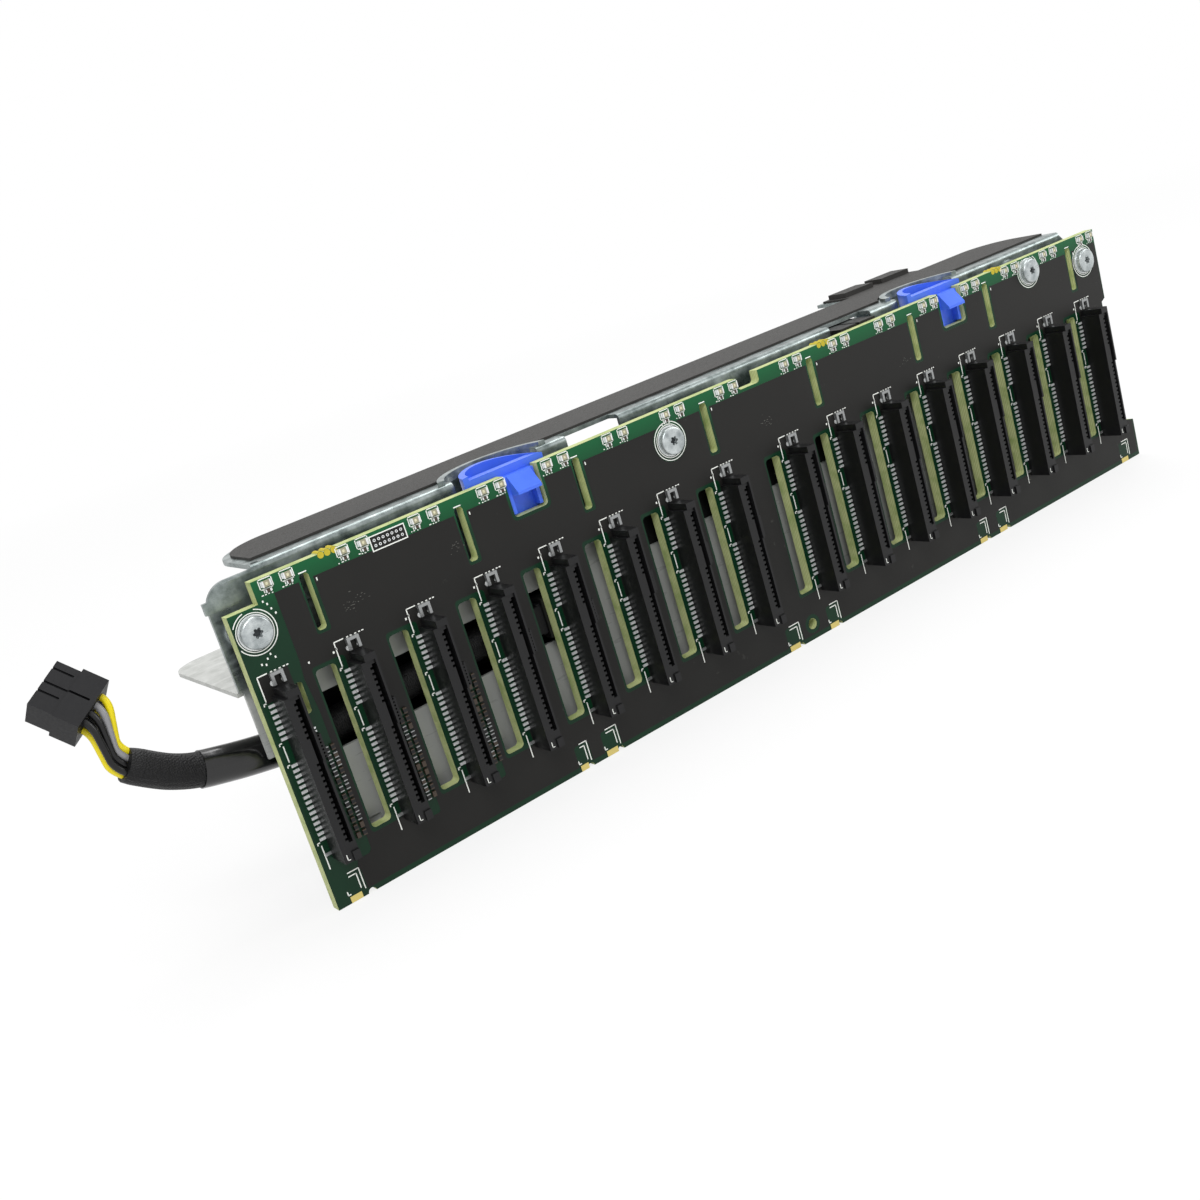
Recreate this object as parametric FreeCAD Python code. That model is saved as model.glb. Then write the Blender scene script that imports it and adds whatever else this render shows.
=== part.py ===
"""Drive backplane board: a long circuit board with sixteen drive connectors, carried by a folded
steel bracket with two release latches, and fed by a short power harness.

Millimetres. X runs along the board, Y from its front to its rear, Z up. The origin is the middle
of the board's bottom edge, halfway through its thickness.
"""
import FreeCAD, Part
import math
import os

Vector = FreeCAD.Vector

# ---------------------------------------------------------------- board
board_length = 299.4
board_height = 74.3
board_thickness = 3.0
notch_width = 7.2            # step at the upper left corner
notch_depth = 4.9
right_tab_length = 4.6       # the lower right corner stands out by this much
right_edge_step = 1.7        # hollow in the right edge beside the last connector
right_hollow_drop = 22.5     # from the board's top edge down to the hollow
right_hollow_height = 38.7
right_tab_slope = 1.2
small_notch_shift = -1.3     # middle of the shallow notch in the top edge, from the board's middle
small_notch_width = 7.4
small_notch_depth = 3.1
tab_rest_radius = 0.8        # stubs left where the board was snapped from its panel
tab_rest_drop = 0.35         # their middle below the board's top edge
tab_rest_shares = (0.0845, 0.59, 0.8338)      # shares of the board's length from its left edge
tooling_hole_shift = -0.9
tooling_hole_height = 4.3
tooling_hole_radius = 1.5
edge_pad_notch_radius = 1.0
edge_pad_shares = (0.0287, 0.2358, 0.2672, 0.4793, 0.5287, 0.7435, 0.7742)

# ---------------------------------------------------------------- drive connectors
connectors_per_bank = 8
bank_gap = 23.9              # from the last connector of one bank to the first of the next
first_contact_offset = 2.4   # first row of tails from the board's left edge
last_contact_margin = 17.04  # last row of tails from the board's right edge
contact_drop = 25.8          # topmost tail below the board's top edge
contact_pitch = 1.27
signal_contacts = 7
power_contacts = 15
power_row_drop = 6.3         # from the last signal tail to the first power tail
tail_length = 1.4
tail_width = 0.62
tail_height = 0.35
body_offset = 0.5            # housing's side from the middle of the tails
body_width = 3.8
body_height = 6.9
body_top_margin = 1.85       # housing beyond the first and the last contact
body_end_length = 3.3        # solid end below the last contact
slot_width = 0.95            # the slot that takes the drive's tongue
slot_depth = 5.6
slot_wall = 0.55             # wall on the slot's right side
contact_hole_size = 0.6
contact_hole_depth = 1.6
crown_height = 1.65          # block above the contacts
crown_inset = 0.9
guide_proud = 0.5            # guide wall and crown in front of the housing
guide_foot_width = 1.7
guide_foot_length = 2.2
port_width = 1.3             # second port's bulge on the right side
port_height = 6.2
port_length = 5.4
port_pitch = 0.8
port_contacts = 7
port_hole_size = 0.4
hold_down_gap = 0.4          # arched clip above the crown
hold_down_shift = 1.1        # its left leg from the housing's left side
hold_down_width = 3.0
hold_down_length = 2.8
hold_down_strip = 0.7
hold_down_height = 1.0

# ---------------------------------------------------------------- openings in the board
airflow_width = 4.9
airflow_gap = 2.2            # from an opening's right side to the next tails
airflow_drop = 23.0          # from the board's top edge down to an opening
airflow_height = 38.1
airflow_corner_radius = 1.0
side_slot_offset = 9.1
side_slot_width = 2.0
side_slot_drop = 23.6
side_slot_height = 7.2
rib_slot_width = 2.2
rib_slot_drop = 2.5
rib_slot_height = 12.8
rib_slot_shares = (0.0621, 0.1934, 0.3049, 0.4412, 0.5685, 0.7031, 0.8120, 0.9446)

# ---------------------------------------------------------------- lamps and small parts
lamp_share_left = 0.432      # first lamp from its connector's tails, in pitches, left bank
lamp_share_right = 0.388     # the same in the right bank
lamp_spacing_share = 0.268
lamp_drop = 1.3              # lamp's middle below the board's top edge
lamp_length = 2.0
lamp_width = 1.3
lamp_height = 0.8
chip_length = 1.1
chip_width = 0.6
chip_height = 0.45
chip_drop = 2.9              # lamp's resistor, below the board's top edge
passive_columns = 2
passive_rows = 12
passive_pitch = 1.9
passive_length = 1.3
passive_height = 0.7
passive_connectors = 3
passive_gap = 0.05           # from the second port's tails to the first column
passive_column_share = 0.082 # of the connector pitch
passive_width_share = 0.0492

# ---------------------------------------------------------------- bracket
sheet = 1.0                  # steel thickness
board_gap = 3.5              # standoffs hold the board this far off the bracket
bracket_rise = 2.0           # bracket's top above the board's top edge
left_ear = 1.2               # bracket beyond the board's left edge
left_ear_lower = 0.3
left_strip_height = 40.3     # the left side strip, down from the bracket's top
lower_left_inset = 3.4
lower_left_rise = 6.0        # the web's lower left corner is cut off this high
bracket_right_margin = 6.0
ear_drop = 0.6               # the ear's top edge below the flange
ear_radius = 5.5
bend_radius = 1.2
nub_length = 0.6
nub_height = 2.6
nub_drop = 6.3               # nub's lower side below the bracket's top
flange_left_offset = 10.8
flange_right_margin = 10.4
flange_depth = 28.2
flange_corner_radius = 14.0
flange_hole_radius = 0.9
rear_tab_left_share = 0.7418
rear_tab_right_share = 0.8567
rear_tab_depth = 11.5
rear_lip_height = 12.9       # stiffening fold down the flange's rear edge, beside each latch
rear_lip_length = 30.0
foot_depth = 20.0
foot_left_inset = 13.5
gap_window_width = 16.5      # windows cut through the top bend
gap_window_depth = 3.6
gap_window_share = 0.3163
data_window_share = 0.6219
data_window_height = 22.3    # down from the bracket's top
power_window_left_share = 0.0381
power_window_right_share = 0.2939
power_window_above = 6.6     # above and below the power header's middle
power_window_below = 7.0
rivet_slot_shares = (0.0554, 0.5611)
rivet_slot_length = 4.4
rivet_slot_height = 1.6
rivet_slot_level = 11.6

# ---------------------------------------------------------------- shelf under the top channel
shelf_drop = 24.3            # shelf's upper face below the bracket's top
shelf_depth = 45.0
shelf_left_overhang = 1.6
shelf_right_margin = 10.4
shelf_corner_radius = 7.0
shelf_lip = 5.0              # downward lip against the bracket
strip_thickness = 0.4        # insulating strip on the bracket's face
strip_left_share = 0.3307
strip_right_share = 0.6045
strip_height = 9.5

# ---------------------------------------------------------------- cover on the top flange
cover_thickness = 0.6
cover_front_margin = 5.4
cover_rear_margin = 1.4
cover_side_margin = 2.1
cover_corner_radius = 12.0
cover_pad_height = 1.4
cover_pad_gap = 1.4          # from the rear tab's sides to the cover, and on to the pads
cover_pad_spacing = 4.0

# ---------------------------------------------------------------- screws
screw_places = ((0.0154, 10.0), (0.3995, 8.0), (0.8794, 4.2), (0.9664, 8.0))    # share, drop
screw_head_radius = 3.55
screw_head_height = 1.7
screw_shank_radius = 1.45
screw_clearance = 0.05
screw_hole_clearance = 0.35
recess_radius = 0.85
recess_lobe_radius = 0.33
recess_depth = 1.1
standoff_radius = 2.7
standoff_base_radius = 4.2
standoff_base_height = 0.8

# ---------------------------------------------------------------- release latches
latch_shares = (0.2545, 0.7615)
latch_cutout_width = 9.6
latch_cutout_depth = 10.1
latch_clearance = 0.6
latch_rear_clearance = 0.3
grip_shift = 2.1             # the grip's middle lies left of its tab
grip_radius = 11.2
grip_wall = 1.6
grip_height = 7.6
grip_floor = 1.4
grip_centre_depth = 0.4
grip_rise = 0.9              # grip's top above the bracket
bar_depth = 2.2
ridge_depth = 1.8            # ridge between the bar and the curved wall
ridge_drop = 2.0
bar_drop = 1.4
grip_arch_radius = 60.0      # the grip's top falls away towards both of its ends
grip_arch_shift = 3.0
hook_width = 6.7
hook_reach = 2.1             # how far the hook stands in front of the board
hook_ledge_drop = 5.0        # hook's ledge and top below the board's top edge
hook_top_drop = 0.5
tab_side_wall = 0.9
tab_recess_depth = 2.6
latch_plate_thickness = 3.0
latch_plate_width = 17.0
pivot_rise = 4.0             # hinge above the shelf
pivot_depth = 8.0            # from the middle of the board's thickness
pivot_barrel_radius = 2.4
pin_radius = 1.0
pin_running_clearance = 0.05
ear_plate_height = 7.0
ear_plate_depth = 5.2
latch_window_width = 26.0
latch_window_rise = 1.0      # window's lower side above the shelf
latch_window_step = 9.0      # height of the window's wide lower part, beside the barrel
latch_window_upper = 24.0    # width of its upper part, beside the grip
surround_gap = 3.3           # from the grip's rear to the steel surround
surround_height = 1.0
surround_width = 1.8

# ---------------------------------------------------------------- rear connectors
data_connector_width = 6.4
data_connector_height = 12.5
data_connector_gap = 1.0
data_connector_margin = 0.6  # above the window's lower side
data_connector_top_gap = 0.3 # below the flange
data_shell = 0.5
data_slot_width = 2.6
data_slot_depth = 8.0
header_length = 12.0
header_width = 13.0
header_height = 10.0
header_left_share = 0.2425
header_drop = 36.3           # middle of the power header and of its plug
plug_length = 11.0
plug_width = 11.7
plug_height = 6.8
plug_collar = 0.9
plug_collar_length = 5.6
plug_collar_step = 0.5
plug_groove = 0.5
plug_ways = 4
plug_slots = ((0.16, 0.42), (0.47, 0.9), (0.67, 0.42))     # shares of its width and length
latch_arm_width = 4.6
latch_arm_height = 1.2
controller_size = 10.0
controller_height = 1.4
controller_gap = 1.1         # from the second data connector
controller_drop = 16.8
duct_left_share = 0.0347     # black channel behind the power window, open towards the left
duct_right_share = 0.2972
duct_depth = 12.5            # from the web's rear face
duct_wall = 1.0
duct_below = 9.5             # below the power header's middle

# ---------------------------------------------------------------- power harness
harness_diameter = 7.8
shrink_thickness = 0.25
shrink_start = 58.5          # along the harness, from the mated plug
shrink_length = 17.0
wire_diameter = 1.6
wire_spacing = 1.65
sleeve_lead = 4.75           # straight lead of the wires' middle beyond the sleeve
plug_lead = 4.0              # the same behind the plug

# ---------------------------------------------------------------- derived places
board_left = -board_length / 2
board_right = board_length / 2
board_front = -board_thickness / 2
board_rear = board_thickness / 2
web_front = board_rear + board_gap
web_rear = web_front + sheet
flange_rear = web_rear + flange_depth
flange_top = board_height + bracket_rise
flange_under = flange_top - sheet
shelf_top = flange_top - shelf_drop
latch_window_bottom = shelf_top + latch_window_rise
data_window_bottom = flange_top - data_window_height
pivot_height = shelf_top + pivot_rise
grip_top = flange_top + grip_rise
header_level = board_height - header_drop
contact_top = board_height - contact_drop
signal_span = (signal_contacts - 1) * contact_pitch
power_span = (power_contacts - 1) * contact_pitch
power_top = contact_top - signal_span - power_row_drop
power_bottom = power_top - power_span
body_top = contact_top + body_top_margin
body_low = power_bottom - body_top_margin
contact_room = board_length - first_contact_offset - last_contact_margin - bank_gap
connector_pitch = contact_room / (2 * (connectors_per_bank - 1))
bank_length = (connectors_per_bank - 1) * connector_pitch
latch_offsets = [share * board_length for share in latch_shares]
data_window_offset = data_window_share * board_length
header_left_offset = header_left_share * board_length


def unit(vector):
    return vector * (1 / vector.Length)


def along(offset):
    """X of a place given as its distance from the board's left edge."""
    return board_left + offset


def at_share(share):
    """X of a place given as its share of the board's length, from the left edge."""
    return board_left + share * board_length


def box(x0, x1, y0, y1, z0, z1):
    return Part.makeBox(x1 - x0, y1 - y0, z1 - z0, Vector(x0, y0, z0))


def rod(radius, start, end):
    axis = end.sub(start)
    return Part.makeCylinder(radius, axis.Length, start, axis)


def plate(points, low, high, normal):
    """Flat prism: an outline in the plane across the normal axis, from low to high along it."""
    if normal == "Y":
        corners = [Vector(a, low, b) for a, b in points]
        push = Vector(0, high - low, 0)
    elif normal == "Z":
        corners = [Vector(a, b, low) for a, b in points]
        push = Vector(0, 0, high - low)
    else:
        corners = [Vector(low, a, b) for a, b in points]
        push = Vector(high - low, 0, 0)
    wire = Part.makePolygon(corners + corners[:1])
    return Part.Face(wire).extrude(push)


def rounded_box(x0, x1, y0, y1, z0, z1, radius, direction):
    """Box whose four edges along one direction are rounded."""
    solid = box(x0, x1, y0, y1, z0, z1)
    edges = edges_along(solid, direction)
    return solid.makeFillet(radius, edges)


def edges_along(solid, direction, test=None):
    """Straight edges along a direction, or those of them that pass a test on their middle."""
    found = []
    for edge in solid.Edges:
        if len(edge.Vertexes) != 2:
            continue
        first, last = (vertex.Point for vertex in edge.Vertexes)
        run = last.sub(first)
        if run.cross(direction).Length > 1e-6 * max(run.Length, 1):
            continue
        middle = first.add(last).multiply(0.5)
        if test is None or test(middle):
            found.append(edge)
    return found


def fuse_all(shapes):
    solid = shapes[0]
    if len(shapes) > 1:
        solid = shapes[0].multiFuse(shapes[1:])
    return solid.removeSplitter()


def cut_all(solid, tools):
    return solid.cut(Part.makeCompound(tools))


def save(name, shape):
    if isinstance(shape, (list, tuple)):
        shape = Part.makeCompound(list(shape))
    count = len(shape.Solids)
    print(f"{name:24s} solids {count:4d}  volume {shape.Volume:10.1f}  valid {shape.isValid()}")
    shape.exportStep(f"parts/{name}.step")


def connector_offsets():
    """Distance of each connector's tails from the board's left edge."""
    places = []
    for bank in range(2):
        start = first_contact_offset + bank * (bank_length + bank_gap)
        for index in range(connectors_per_bank):
            places.append(start + index * connector_pitch)
    return places


# ================================================================ board
def make_board():
    left, right = board_left, board_right
    body_right = right - right_tab_length + right_edge_step
    top = board_height
    hollow_top = top - right_hollow_drop
    hollow_low = hollow_top - right_hollow_height
    outline = [
        (left, 0), (right, 0), (right, hollow_low - right_tab_slope),
        (body_right - right_edge_step, hollow_low),
        (body_right - right_edge_step, hollow_top),
        (body_right, hollow_top + right_edge_step / 2),
        (body_right, top), (left + notch_width, top),
        (left + notch_width, top - notch_depth), (left, top - notch_depth),
    ]
    board = plate(outline, board_front, board_rear, "Y")
    cuts = [opening(offset) for offset in connector_offsets()[1:]]
    cuts.append(through(along(side_slot_offset), side_slot_width, side_slot_drop,
                        side_slot_height, side_slot_width / 3))
    for share in rib_slot_shares:
        cuts.append(through(at_share(share), rib_slot_width, rib_slot_drop, rib_slot_height,
                            rib_slot_width / 3))
    for offset in latch_offsets:
        cuts.append(edge_cut(along(offset), latch_cutout_width, latch_cutout_depth))
    cuts.append(edge_cut(small_notch_shift, small_notch_width, small_notch_depth))
    cuts.append(across_board(tooling_hole_shift, tooling_hole_height, tooling_hole_radius))
    for share in edge_pad_shares:
        cuts.append(across_board(at_share(share), 0, edge_pad_notch_radius))
    for x, height in screw_axes():
        cuts.append(across_board(x, height, screw_shank_radius + screw_hole_clearance))
    board = cut_all(board, cuts)
    stubs = []
    for share in tab_rest_shares:
        for step in (-1, 0, 1):
            x = at_share(share) + step * 2 * tab_rest_radius
            stubs.append(across_board(x, top - tab_rest_drop, tab_rest_radius))
    return fuse_all([board] + stubs)


def screw_axes():
    return [(at_share(share), board_height - drop) for share, drop in screw_places]


def through(x, width, drop, height, radius):
    """Rounded opening through the board, about a middle line and down from the top edge."""
    top = board_height - drop
    return rounded_box(x - width / 2, x + width / 2, board_front - 1, board_rear + 1,
                       top - height, top, radius, Vector(0, 1, 0))


def opening(offset):
    """Airflow opening on the left of one connector's tails."""
    middle = offset - airflow_gap - airflow_width / 2
    return through(along(middle), airflow_width, airflow_drop, airflow_height,
                   airflow_corner_radius)


def edge_cut(x, width, depth):
    """Cut in from the top edge, with rounded inner corners."""
    return rounded_box(x - width / 2, x + width / 2, board_front - 1, board_rear + 1,
                       board_height - depth, board_height + depth, airflow_corner_radius,
                       Vector(0, 1, 0))


def across_board(x, height, radius):
    return rod(radius, Vector(x, board_front, height), Vector(x, board_rear, height))


# ================================================================ drive connectors
def contact_levels():
    signal = [contact_top - index * contact_pitch for index in range(signal_contacts)]
    power = [power_top - index * contact_pitch for index in range(power_contacts)]
    return signal + power


def port_levels():
    """Second port's contacts, midway between the signal row and the power row."""
    middle = port_middle()
    half = (port_contacts - 1) / 2
    return [middle + (half - index) * port_pitch for index in range(port_contacts)]


def port_middle():
    return (contact_top - signal_span + power_top) / 2


def housing_sides(offset):
    left = along(offset) + body_offset
    return left, left + body_width


def make_housing(offset):
    """Black receptacle: a slotted block with a crown, a guide wall and the second port's bulge."""
    left, right = housing_sides(offset)
    front = board_front - body_height
    proud = front - guide_proud
    bottom = body_low - body_end_length
    crown_top = body_top + crown_height
    port_low = port_middle() - port_length / 2
    wall = right - slot_wall
    solid = fuse_all([
        box(left, right, front, board_front, bottom, body_top),
        box(left + crown_inset, right, proud, board_front, body_top, crown_top),
        box(wall, right, proud, board_front, port_low, crown_top),
        box(right, right + port_width, board_front - port_height, board_front, port_low,
            port_low + port_length),
        box(right - guide_foot_width, right, proud, board_front, bottom,
            bottom + guide_foot_length),
    ])
    cuts = [box(wall - slot_width, wall, proud - 1, front + slot_depth,
                body_low + body_top_margin / 2, body_top - body_top_margin / 2)]
    hole_right = wall - slot_width
    for level in contact_levels():
        cuts.append(square_hole(hole_right - contact_hole_size, hole_right, front, level,
                                contact_hole_size))
    port_hole = right + port_width / 2
    for level in port_levels():
        cuts.append(square_hole(port_hole - port_hole_size / 2, port_hole + port_hole_size / 2,
                                board_front - port_height, level, port_hole_size))
    return cut_all(solid, cuts)


def square_hole(x0, x1, front, level, height):
    return box(x0, x1, front - 1, front + contact_hole_depth, level - height / 2,
               level + height / 2)


def make_tails():
    """Solder tails: one row on each housing's left, and the second port's row on its right."""
    tails = []
    for offset in connector_offsets():
        left, right = housing_sides(offset)
        for level in contact_levels():
            tails.append(tail(left - tail_length, left, level, tail_width))
        for level in port_levels():
            tails.append(tail(right + port_width, right + port_width + tail_length, level,
                              port_pitch / 2))
    return tails


def tail(x0, x1, level, width):
    return box(x0, x1, board_front - tail_height, board_front, level - width / 2,
               level + width / 2)


def make_hold_downs():
    """Soldered metal clips: an arch above each housing and a flat foot beside its lower end."""
    clips = []
    for offset in connector_offsets():
        left, _ = housing_sides(offset)
        low = body_top + crown_height + hold_down_gap
        high = low + hold_down_length
        start = left + hold_down_shift
        end = start + hold_down_width
        outer = box(start, end, board_front - hold_down_height, board_front, low, high)
        inner = box(start + hold_down_strip, end - hold_down_strip,
                    board_front - 2 * hold_down_height, board_front, low - 1,
                    high - hold_down_strip)
        clips.append(outer.cut(inner))
        clips.append(tail(left - tail_length, left, body_low - body_top_margin, hold_down_strip))
    return clips


# ================================================================ lamps and small parts
def lamp_places():
    places = []
    for index, offset in enumerate(connector_offsets()):
        share = lamp_share_left if index < connectors_per_bank else lamp_share_right
        first = offset + share * connector_pitch
        places += [first, first + lamp_spacing_share * connector_pitch]
    return places


def make_lamps():
    lamps = []
    level = board_height - lamp_drop
    for offset in lamp_places():
        lamps.append(surface_part(offset, level, lamp_length, lamp_width, lamp_height))
    return lamps


def surface_part(offset, level, width, length, height):
    x = along(offset)
    return box(x - width / 2, x + width / 2, board_front - height, board_front,
               level - length / 2, level + length / 2)


def make_lamp_resistors():
    level = board_height - chip_drop
    return [surface_part(offset, level, chip_length, chip_width, chip_height)
            for offset in lamp_places()]


def make_passives():
    """Small capacitors and resistors in two columns right of the first connectors."""
    parts = []
    reach = body_offset + body_width + port_width + tail_length
    width = passive_width_share * connector_pitch
    for offset in connector_offsets()[:passive_connectors]:
        start = offset + reach + passive_gap + width / 2
        for column in range(passive_columns):
            place = start + column * passive_column_share * connector_pitch
            for row in range(passive_rows):
                level = power_top - row * passive_pitch
                parts.append(surface_part(place, level, width, passive_length, passive_height))
    return parts


# ================================================================ bracket
def make_bracket():
    """Folded steel bracket: upright web, top flange, foot, latch windows and hinge ears."""
    solid = fuse_all([make_web(), make_flange(), make_foot()])
    bends = edges_along(solid, Vector(1, 0, 0), on_bend)
    solid = fuse_all([solid.makeFillet(bend_radius, bends)]
                     + [latch_surround(offset) for offset in latch_offsets])
    cuts = [latch_window(offset) for offset in latch_offsets]
    cuts += web_windows()
    cuts += [standoff_seat(x, height) for x, height in screw_axes()]
    solid = cut_all(solid, cuts)
    ears = []
    for offset in latch_offsets:
        ears += hinge_ears(offset)
    solid = fuse_all([solid] + ears)
    return cut_all(solid, [hinge_bore(offset) for offset in latch_offsets])


def on_bend(middle):
    """True at the outer edges of the bracket's two folds."""
    at_fold = middle.z > flange_top - 1e-3 or middle.z < 1e-3
    return at_fold and middle.y < web_front + 1e-3


def make_web():
    left = board_left - left_ear
    right = board_right - bracket_right_margin
    strip_left = board_left - left_ear_lower
    strip_low = flange_top - left_strip_height
    flange_left = along(flange_left_offset)
    ear_top = flange_top - ear_drop
    outline = [
        (board_left + foot_left_inset, 0), (right, 0), (right, flange_top - ear_radius),
        (right - ear_radius, flange_top), (flange_left, flange_top), (flange_left, ear_top),
        (left, ear_top), (left, shelf_top), (strip_left, shelf_top),
        (strip_left, strip_low),
        (board_left + lower_left_inset, strip_low),
        (board_left + lower_left_inset, lower_left_rise),
        (board_left + foot_left_inset, lower_left_rise),
    ]
    web = plate(outline, web_front, web_rear, "Y")
    corner = edges_along(web, Vector(0, 1, 0),
                         lambda at: at.x < left + 1e-3 and at.z > ear_top - 1e-3)
    web = web.makeFillet(ear_radius, corner)
    nub_low = flange_top - nub_drop
    nub = box(left - nub_length, left + sheet, web_front, web_rear, nub_low,
              nub_low + nub_height)
    return web.fuse(nub)


def make_flange():
    left, right = along(flange_left_offset), board_right - flange_right_margin
    flange = box(left, right, web_front, flange_rear, flange_under, flange_top)
    flange = flange.makeFillet(flange_corner_radius, edges_along(
        flange, Vector(0, 0, 1), lambda at: at.y > flange_rear - 1e-3))
    tab = box(at_share(rear_tab_left_share), at_share(rear_tab_right_share),
              flange_rear - sheet, flange_rear + rear_tab_depth, flange_under, flange_top)
    hole = rod(flange_hole_radius, Vector(left + 1.5 * sheet, web_rear + sheet, flange_under),
               Vector(left + 1.5 * sheet, web_rear + sheet, flange_top))
    lips = []
    for offset in latch_offsets:
        start = grip_centre(offset).x
        lips.append(box(start, start + rear_lip_length, flange_rear, flange_rear + sheet,
                        flange_top - rear_lip_height, flange_top))
    return fuse_all([flange, tab] + lips).cut(hole)


def make_foot():
    left, right = board_left + foot_left_inset, board_right - bracket_right_margin
    return box(left, right, web_front, web_rear + foot_depth, 0, sheet)


def grip_centre(offset):
    return Vector(along(offset) - grip_shift, grip_centre_depth, 0)


def ring(centre, inner, outer, low, high):
    base = Vector(centre.x, centre.y, low)
    rise = Vector(0, 0, high - low)
    return Part.makeCylinder(outer, rise.z, base).cut(Part.makeCylinder(inner, rise.z, base))


def latch_surround(offset):
    """Raised steel rim around one latch's grip."""
    centre = grip_centre(offset)
    inner = grip_radius + surround_gap
    rim = ring(centre, inner, inner + surround_width, flange_under,
               flange_top + surround_height)
    keep = box(centre.x - 2 * inner, centre.x + 2 * inner, web_rear, flange_rear,
               flange_under, flange_top + surround_height)
    return rim.common(keep)


def latch_window(offset):
    """Space for one latch: a window in the web and a round recess in the flange."""
    centre = grip_centre(offset)
    half, upper_half = latch_window_width / 2, latch_window_upper / 2
    step = latch_window_bottom + latch_window_step
    lower = box(centre.x - half, centre.x + half, web_front - 1, web_rear,
                latch_window_bottom, step)
    upper = box(centre.x - upper_half, centre.x + upper_half, web_front - 1, web_rear,
                step, flange_top + surround_height)
    recess = Part.makeCylinder(grip_radius + surround_gap, surround_height + 2 * sheet,
                               Vector(centre.x, centre.y, flange_under - sheet / 2))
    keep = box(centre.x - upper_half, centre.x + upper_half, web_front - 1, flange_rear,
               flange_under - sheet, flange_top + 2 * surround_height)
    return fuse_all([lower, upper, recess.common(keep)])


def hinge_ears(offset):
    """Two small plates bent back beside the latch window, which hold the hinge pin."""
    centre = grip_centre(offset)
    half = latch_window_width / 2
    low = latch_window_bottom - sheet / 2
    ears = []
    for side in (-1, 1):
        inner = centre.x + side * half
        outer = inner + side * sheet
        ears.append(box(min(inner, outer), max(inner, outer), web_front,
                        web_rear + ear_plate_depth, low, low + ear_plate_height))
    return ears


def hinge_ends(offset):
    centre = grip_centre(offset)
    half = latch_window_width / 2 + 1.4 * sheet
    return (Vector(centre.x - half, pivot_depth, pivot_height),
            Vector(centre.x + half, pivot_depth, pivot_height))


def hinge_bore(offset):
    start, end = hinge_ends(offset)
    return rod(pin_radius, start, end)


def web_windows():
    top = flange_top + 1
    rear = web_rear + gap_window_depth
    windows = []
    left = at_share(gap_window_share)
    windows.append(box(left, left + gap_window_width, web_front - 1, rear,
                       flange_under - 2 * gap_window_depth, top))
    left = along(data_window_offset)
    windows.append(box(left, left + gap_window_width, web_front - 1, rear,
                       data_window_bottom, top))
    windows.append(box(at_share(power_window_left_share), at_share(power_window_right_share),
                       web_front - 1, web_rear + 1, header_level - power_window_below,
                       header_level + power_window_above))
    for share in rivet_slot_shares:
        x = at_share(share)
        windows.append(box(x - rivet_slot_length / 2, x + rivet_slot_length / 2, web_front - 1,
                           web_front + sheet / 2, rivet_slot_level,
                           rivet_slot_level + rivet_slot_height))
    return windows


def standoff_seat(x, height):
    return rod(screw_shank_radius + screw_clearance, Vector(x, web_front - 1, height),
               Vector(x, web_rear + 1, height))


# ================================================================ shelf, cover, strip
def make_shelf():
    """Long steel shelf below the top channel, with a lip down the bracket's rear face."""
    left, right = board_left - shelf_left_overhang, board_right - shelf_right_margin
    rear = web_rear + shelf_depth
    plane = box(left, right, web_rear, rear, shelf_top - sheet, shelf_top)
    plane = plane.makeFillet(shelf_corner_radius, edges_along(
        plane, Vector(0, 0, 1), lambda at: at.y > rear - 1e-3))
    lip = box(board_left, right, web_rear, web_rear + sheet,
              shelf_top - sheet - shelf_lip, shelf_top - sheet)
    return fuse_all([plane, lip])


def make_cover():
    """Thin dark cover on the flange, cut back around the latches."""
    left = along(flange_left_offset) + cover_side_margin
    right = board_right - flange_right_margin - cover_side_margin / 2
    front, rear = web_front + cover_front_margin, flange_rear - cover_rear_margin
    low, high = flange_top, flange_top + cover_thickness
    cover = box(left, right, front, rear, low, high)
    cover = cover.makeFillet(cover_corner_radius, edges_along(
        cover, Vector(0, 0, 1), lambda at: at.y > rear - 1e-3))
    tab = box(at_share(rear_tab_left_share) + cover_pad_gap,
              at_share(rear_tab_right_share) - cover_pad_gap, rear - sheet,
              flange_rear + rear_tab_depth - cover_rear_margin, low, high)
    cuts = []
    for offset in latch_offsets:
        centre = grip_centre(offset)
        radius = grip_radius + surround_gap + sheet + cover_front_margin / 4
        cuts.append(Part.makeCylinder(radius, 4 * cover_thickness,
                                      Vector(centre.x, centre.y, low - cover_thickness)))
    return fuse_all([cover, tab]).cut(Part.makeCompound(cuts)).removeSplitter()


def make_cover_pads():
    """Two raised blocks on the cover's rear tab."""
    left = at_share(rear_tab_left_share) + 2 * cover_pad_gap
    right = at_share(rear_tab_right_share) - 2 * cover_pad_gap
    middle = (left + right) / 2
    low = flange_top + cover_thickness
    front = flange_rear + cover_rear_margin
    rear = flange_rear + rear_tab_depth - 2 * cover_rear_margin
    return [box(left, middle - cover_pad_spacing / 2, front, rear, low, low + cover_pad_height),
            box(middle + cover_pad_spacing / 2, right, front, rear, low, low + cover_pad_height)]


def make_strip():
    """Insulating strip stuck on the bracket's front face, behind the board."""
    top = latch_window_bottom - sheet
    return box(at_share(strip_left_share), at_share(strip_right_share),
               web_front - strip_thickness, web_front, top - strip_height, top)


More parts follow.
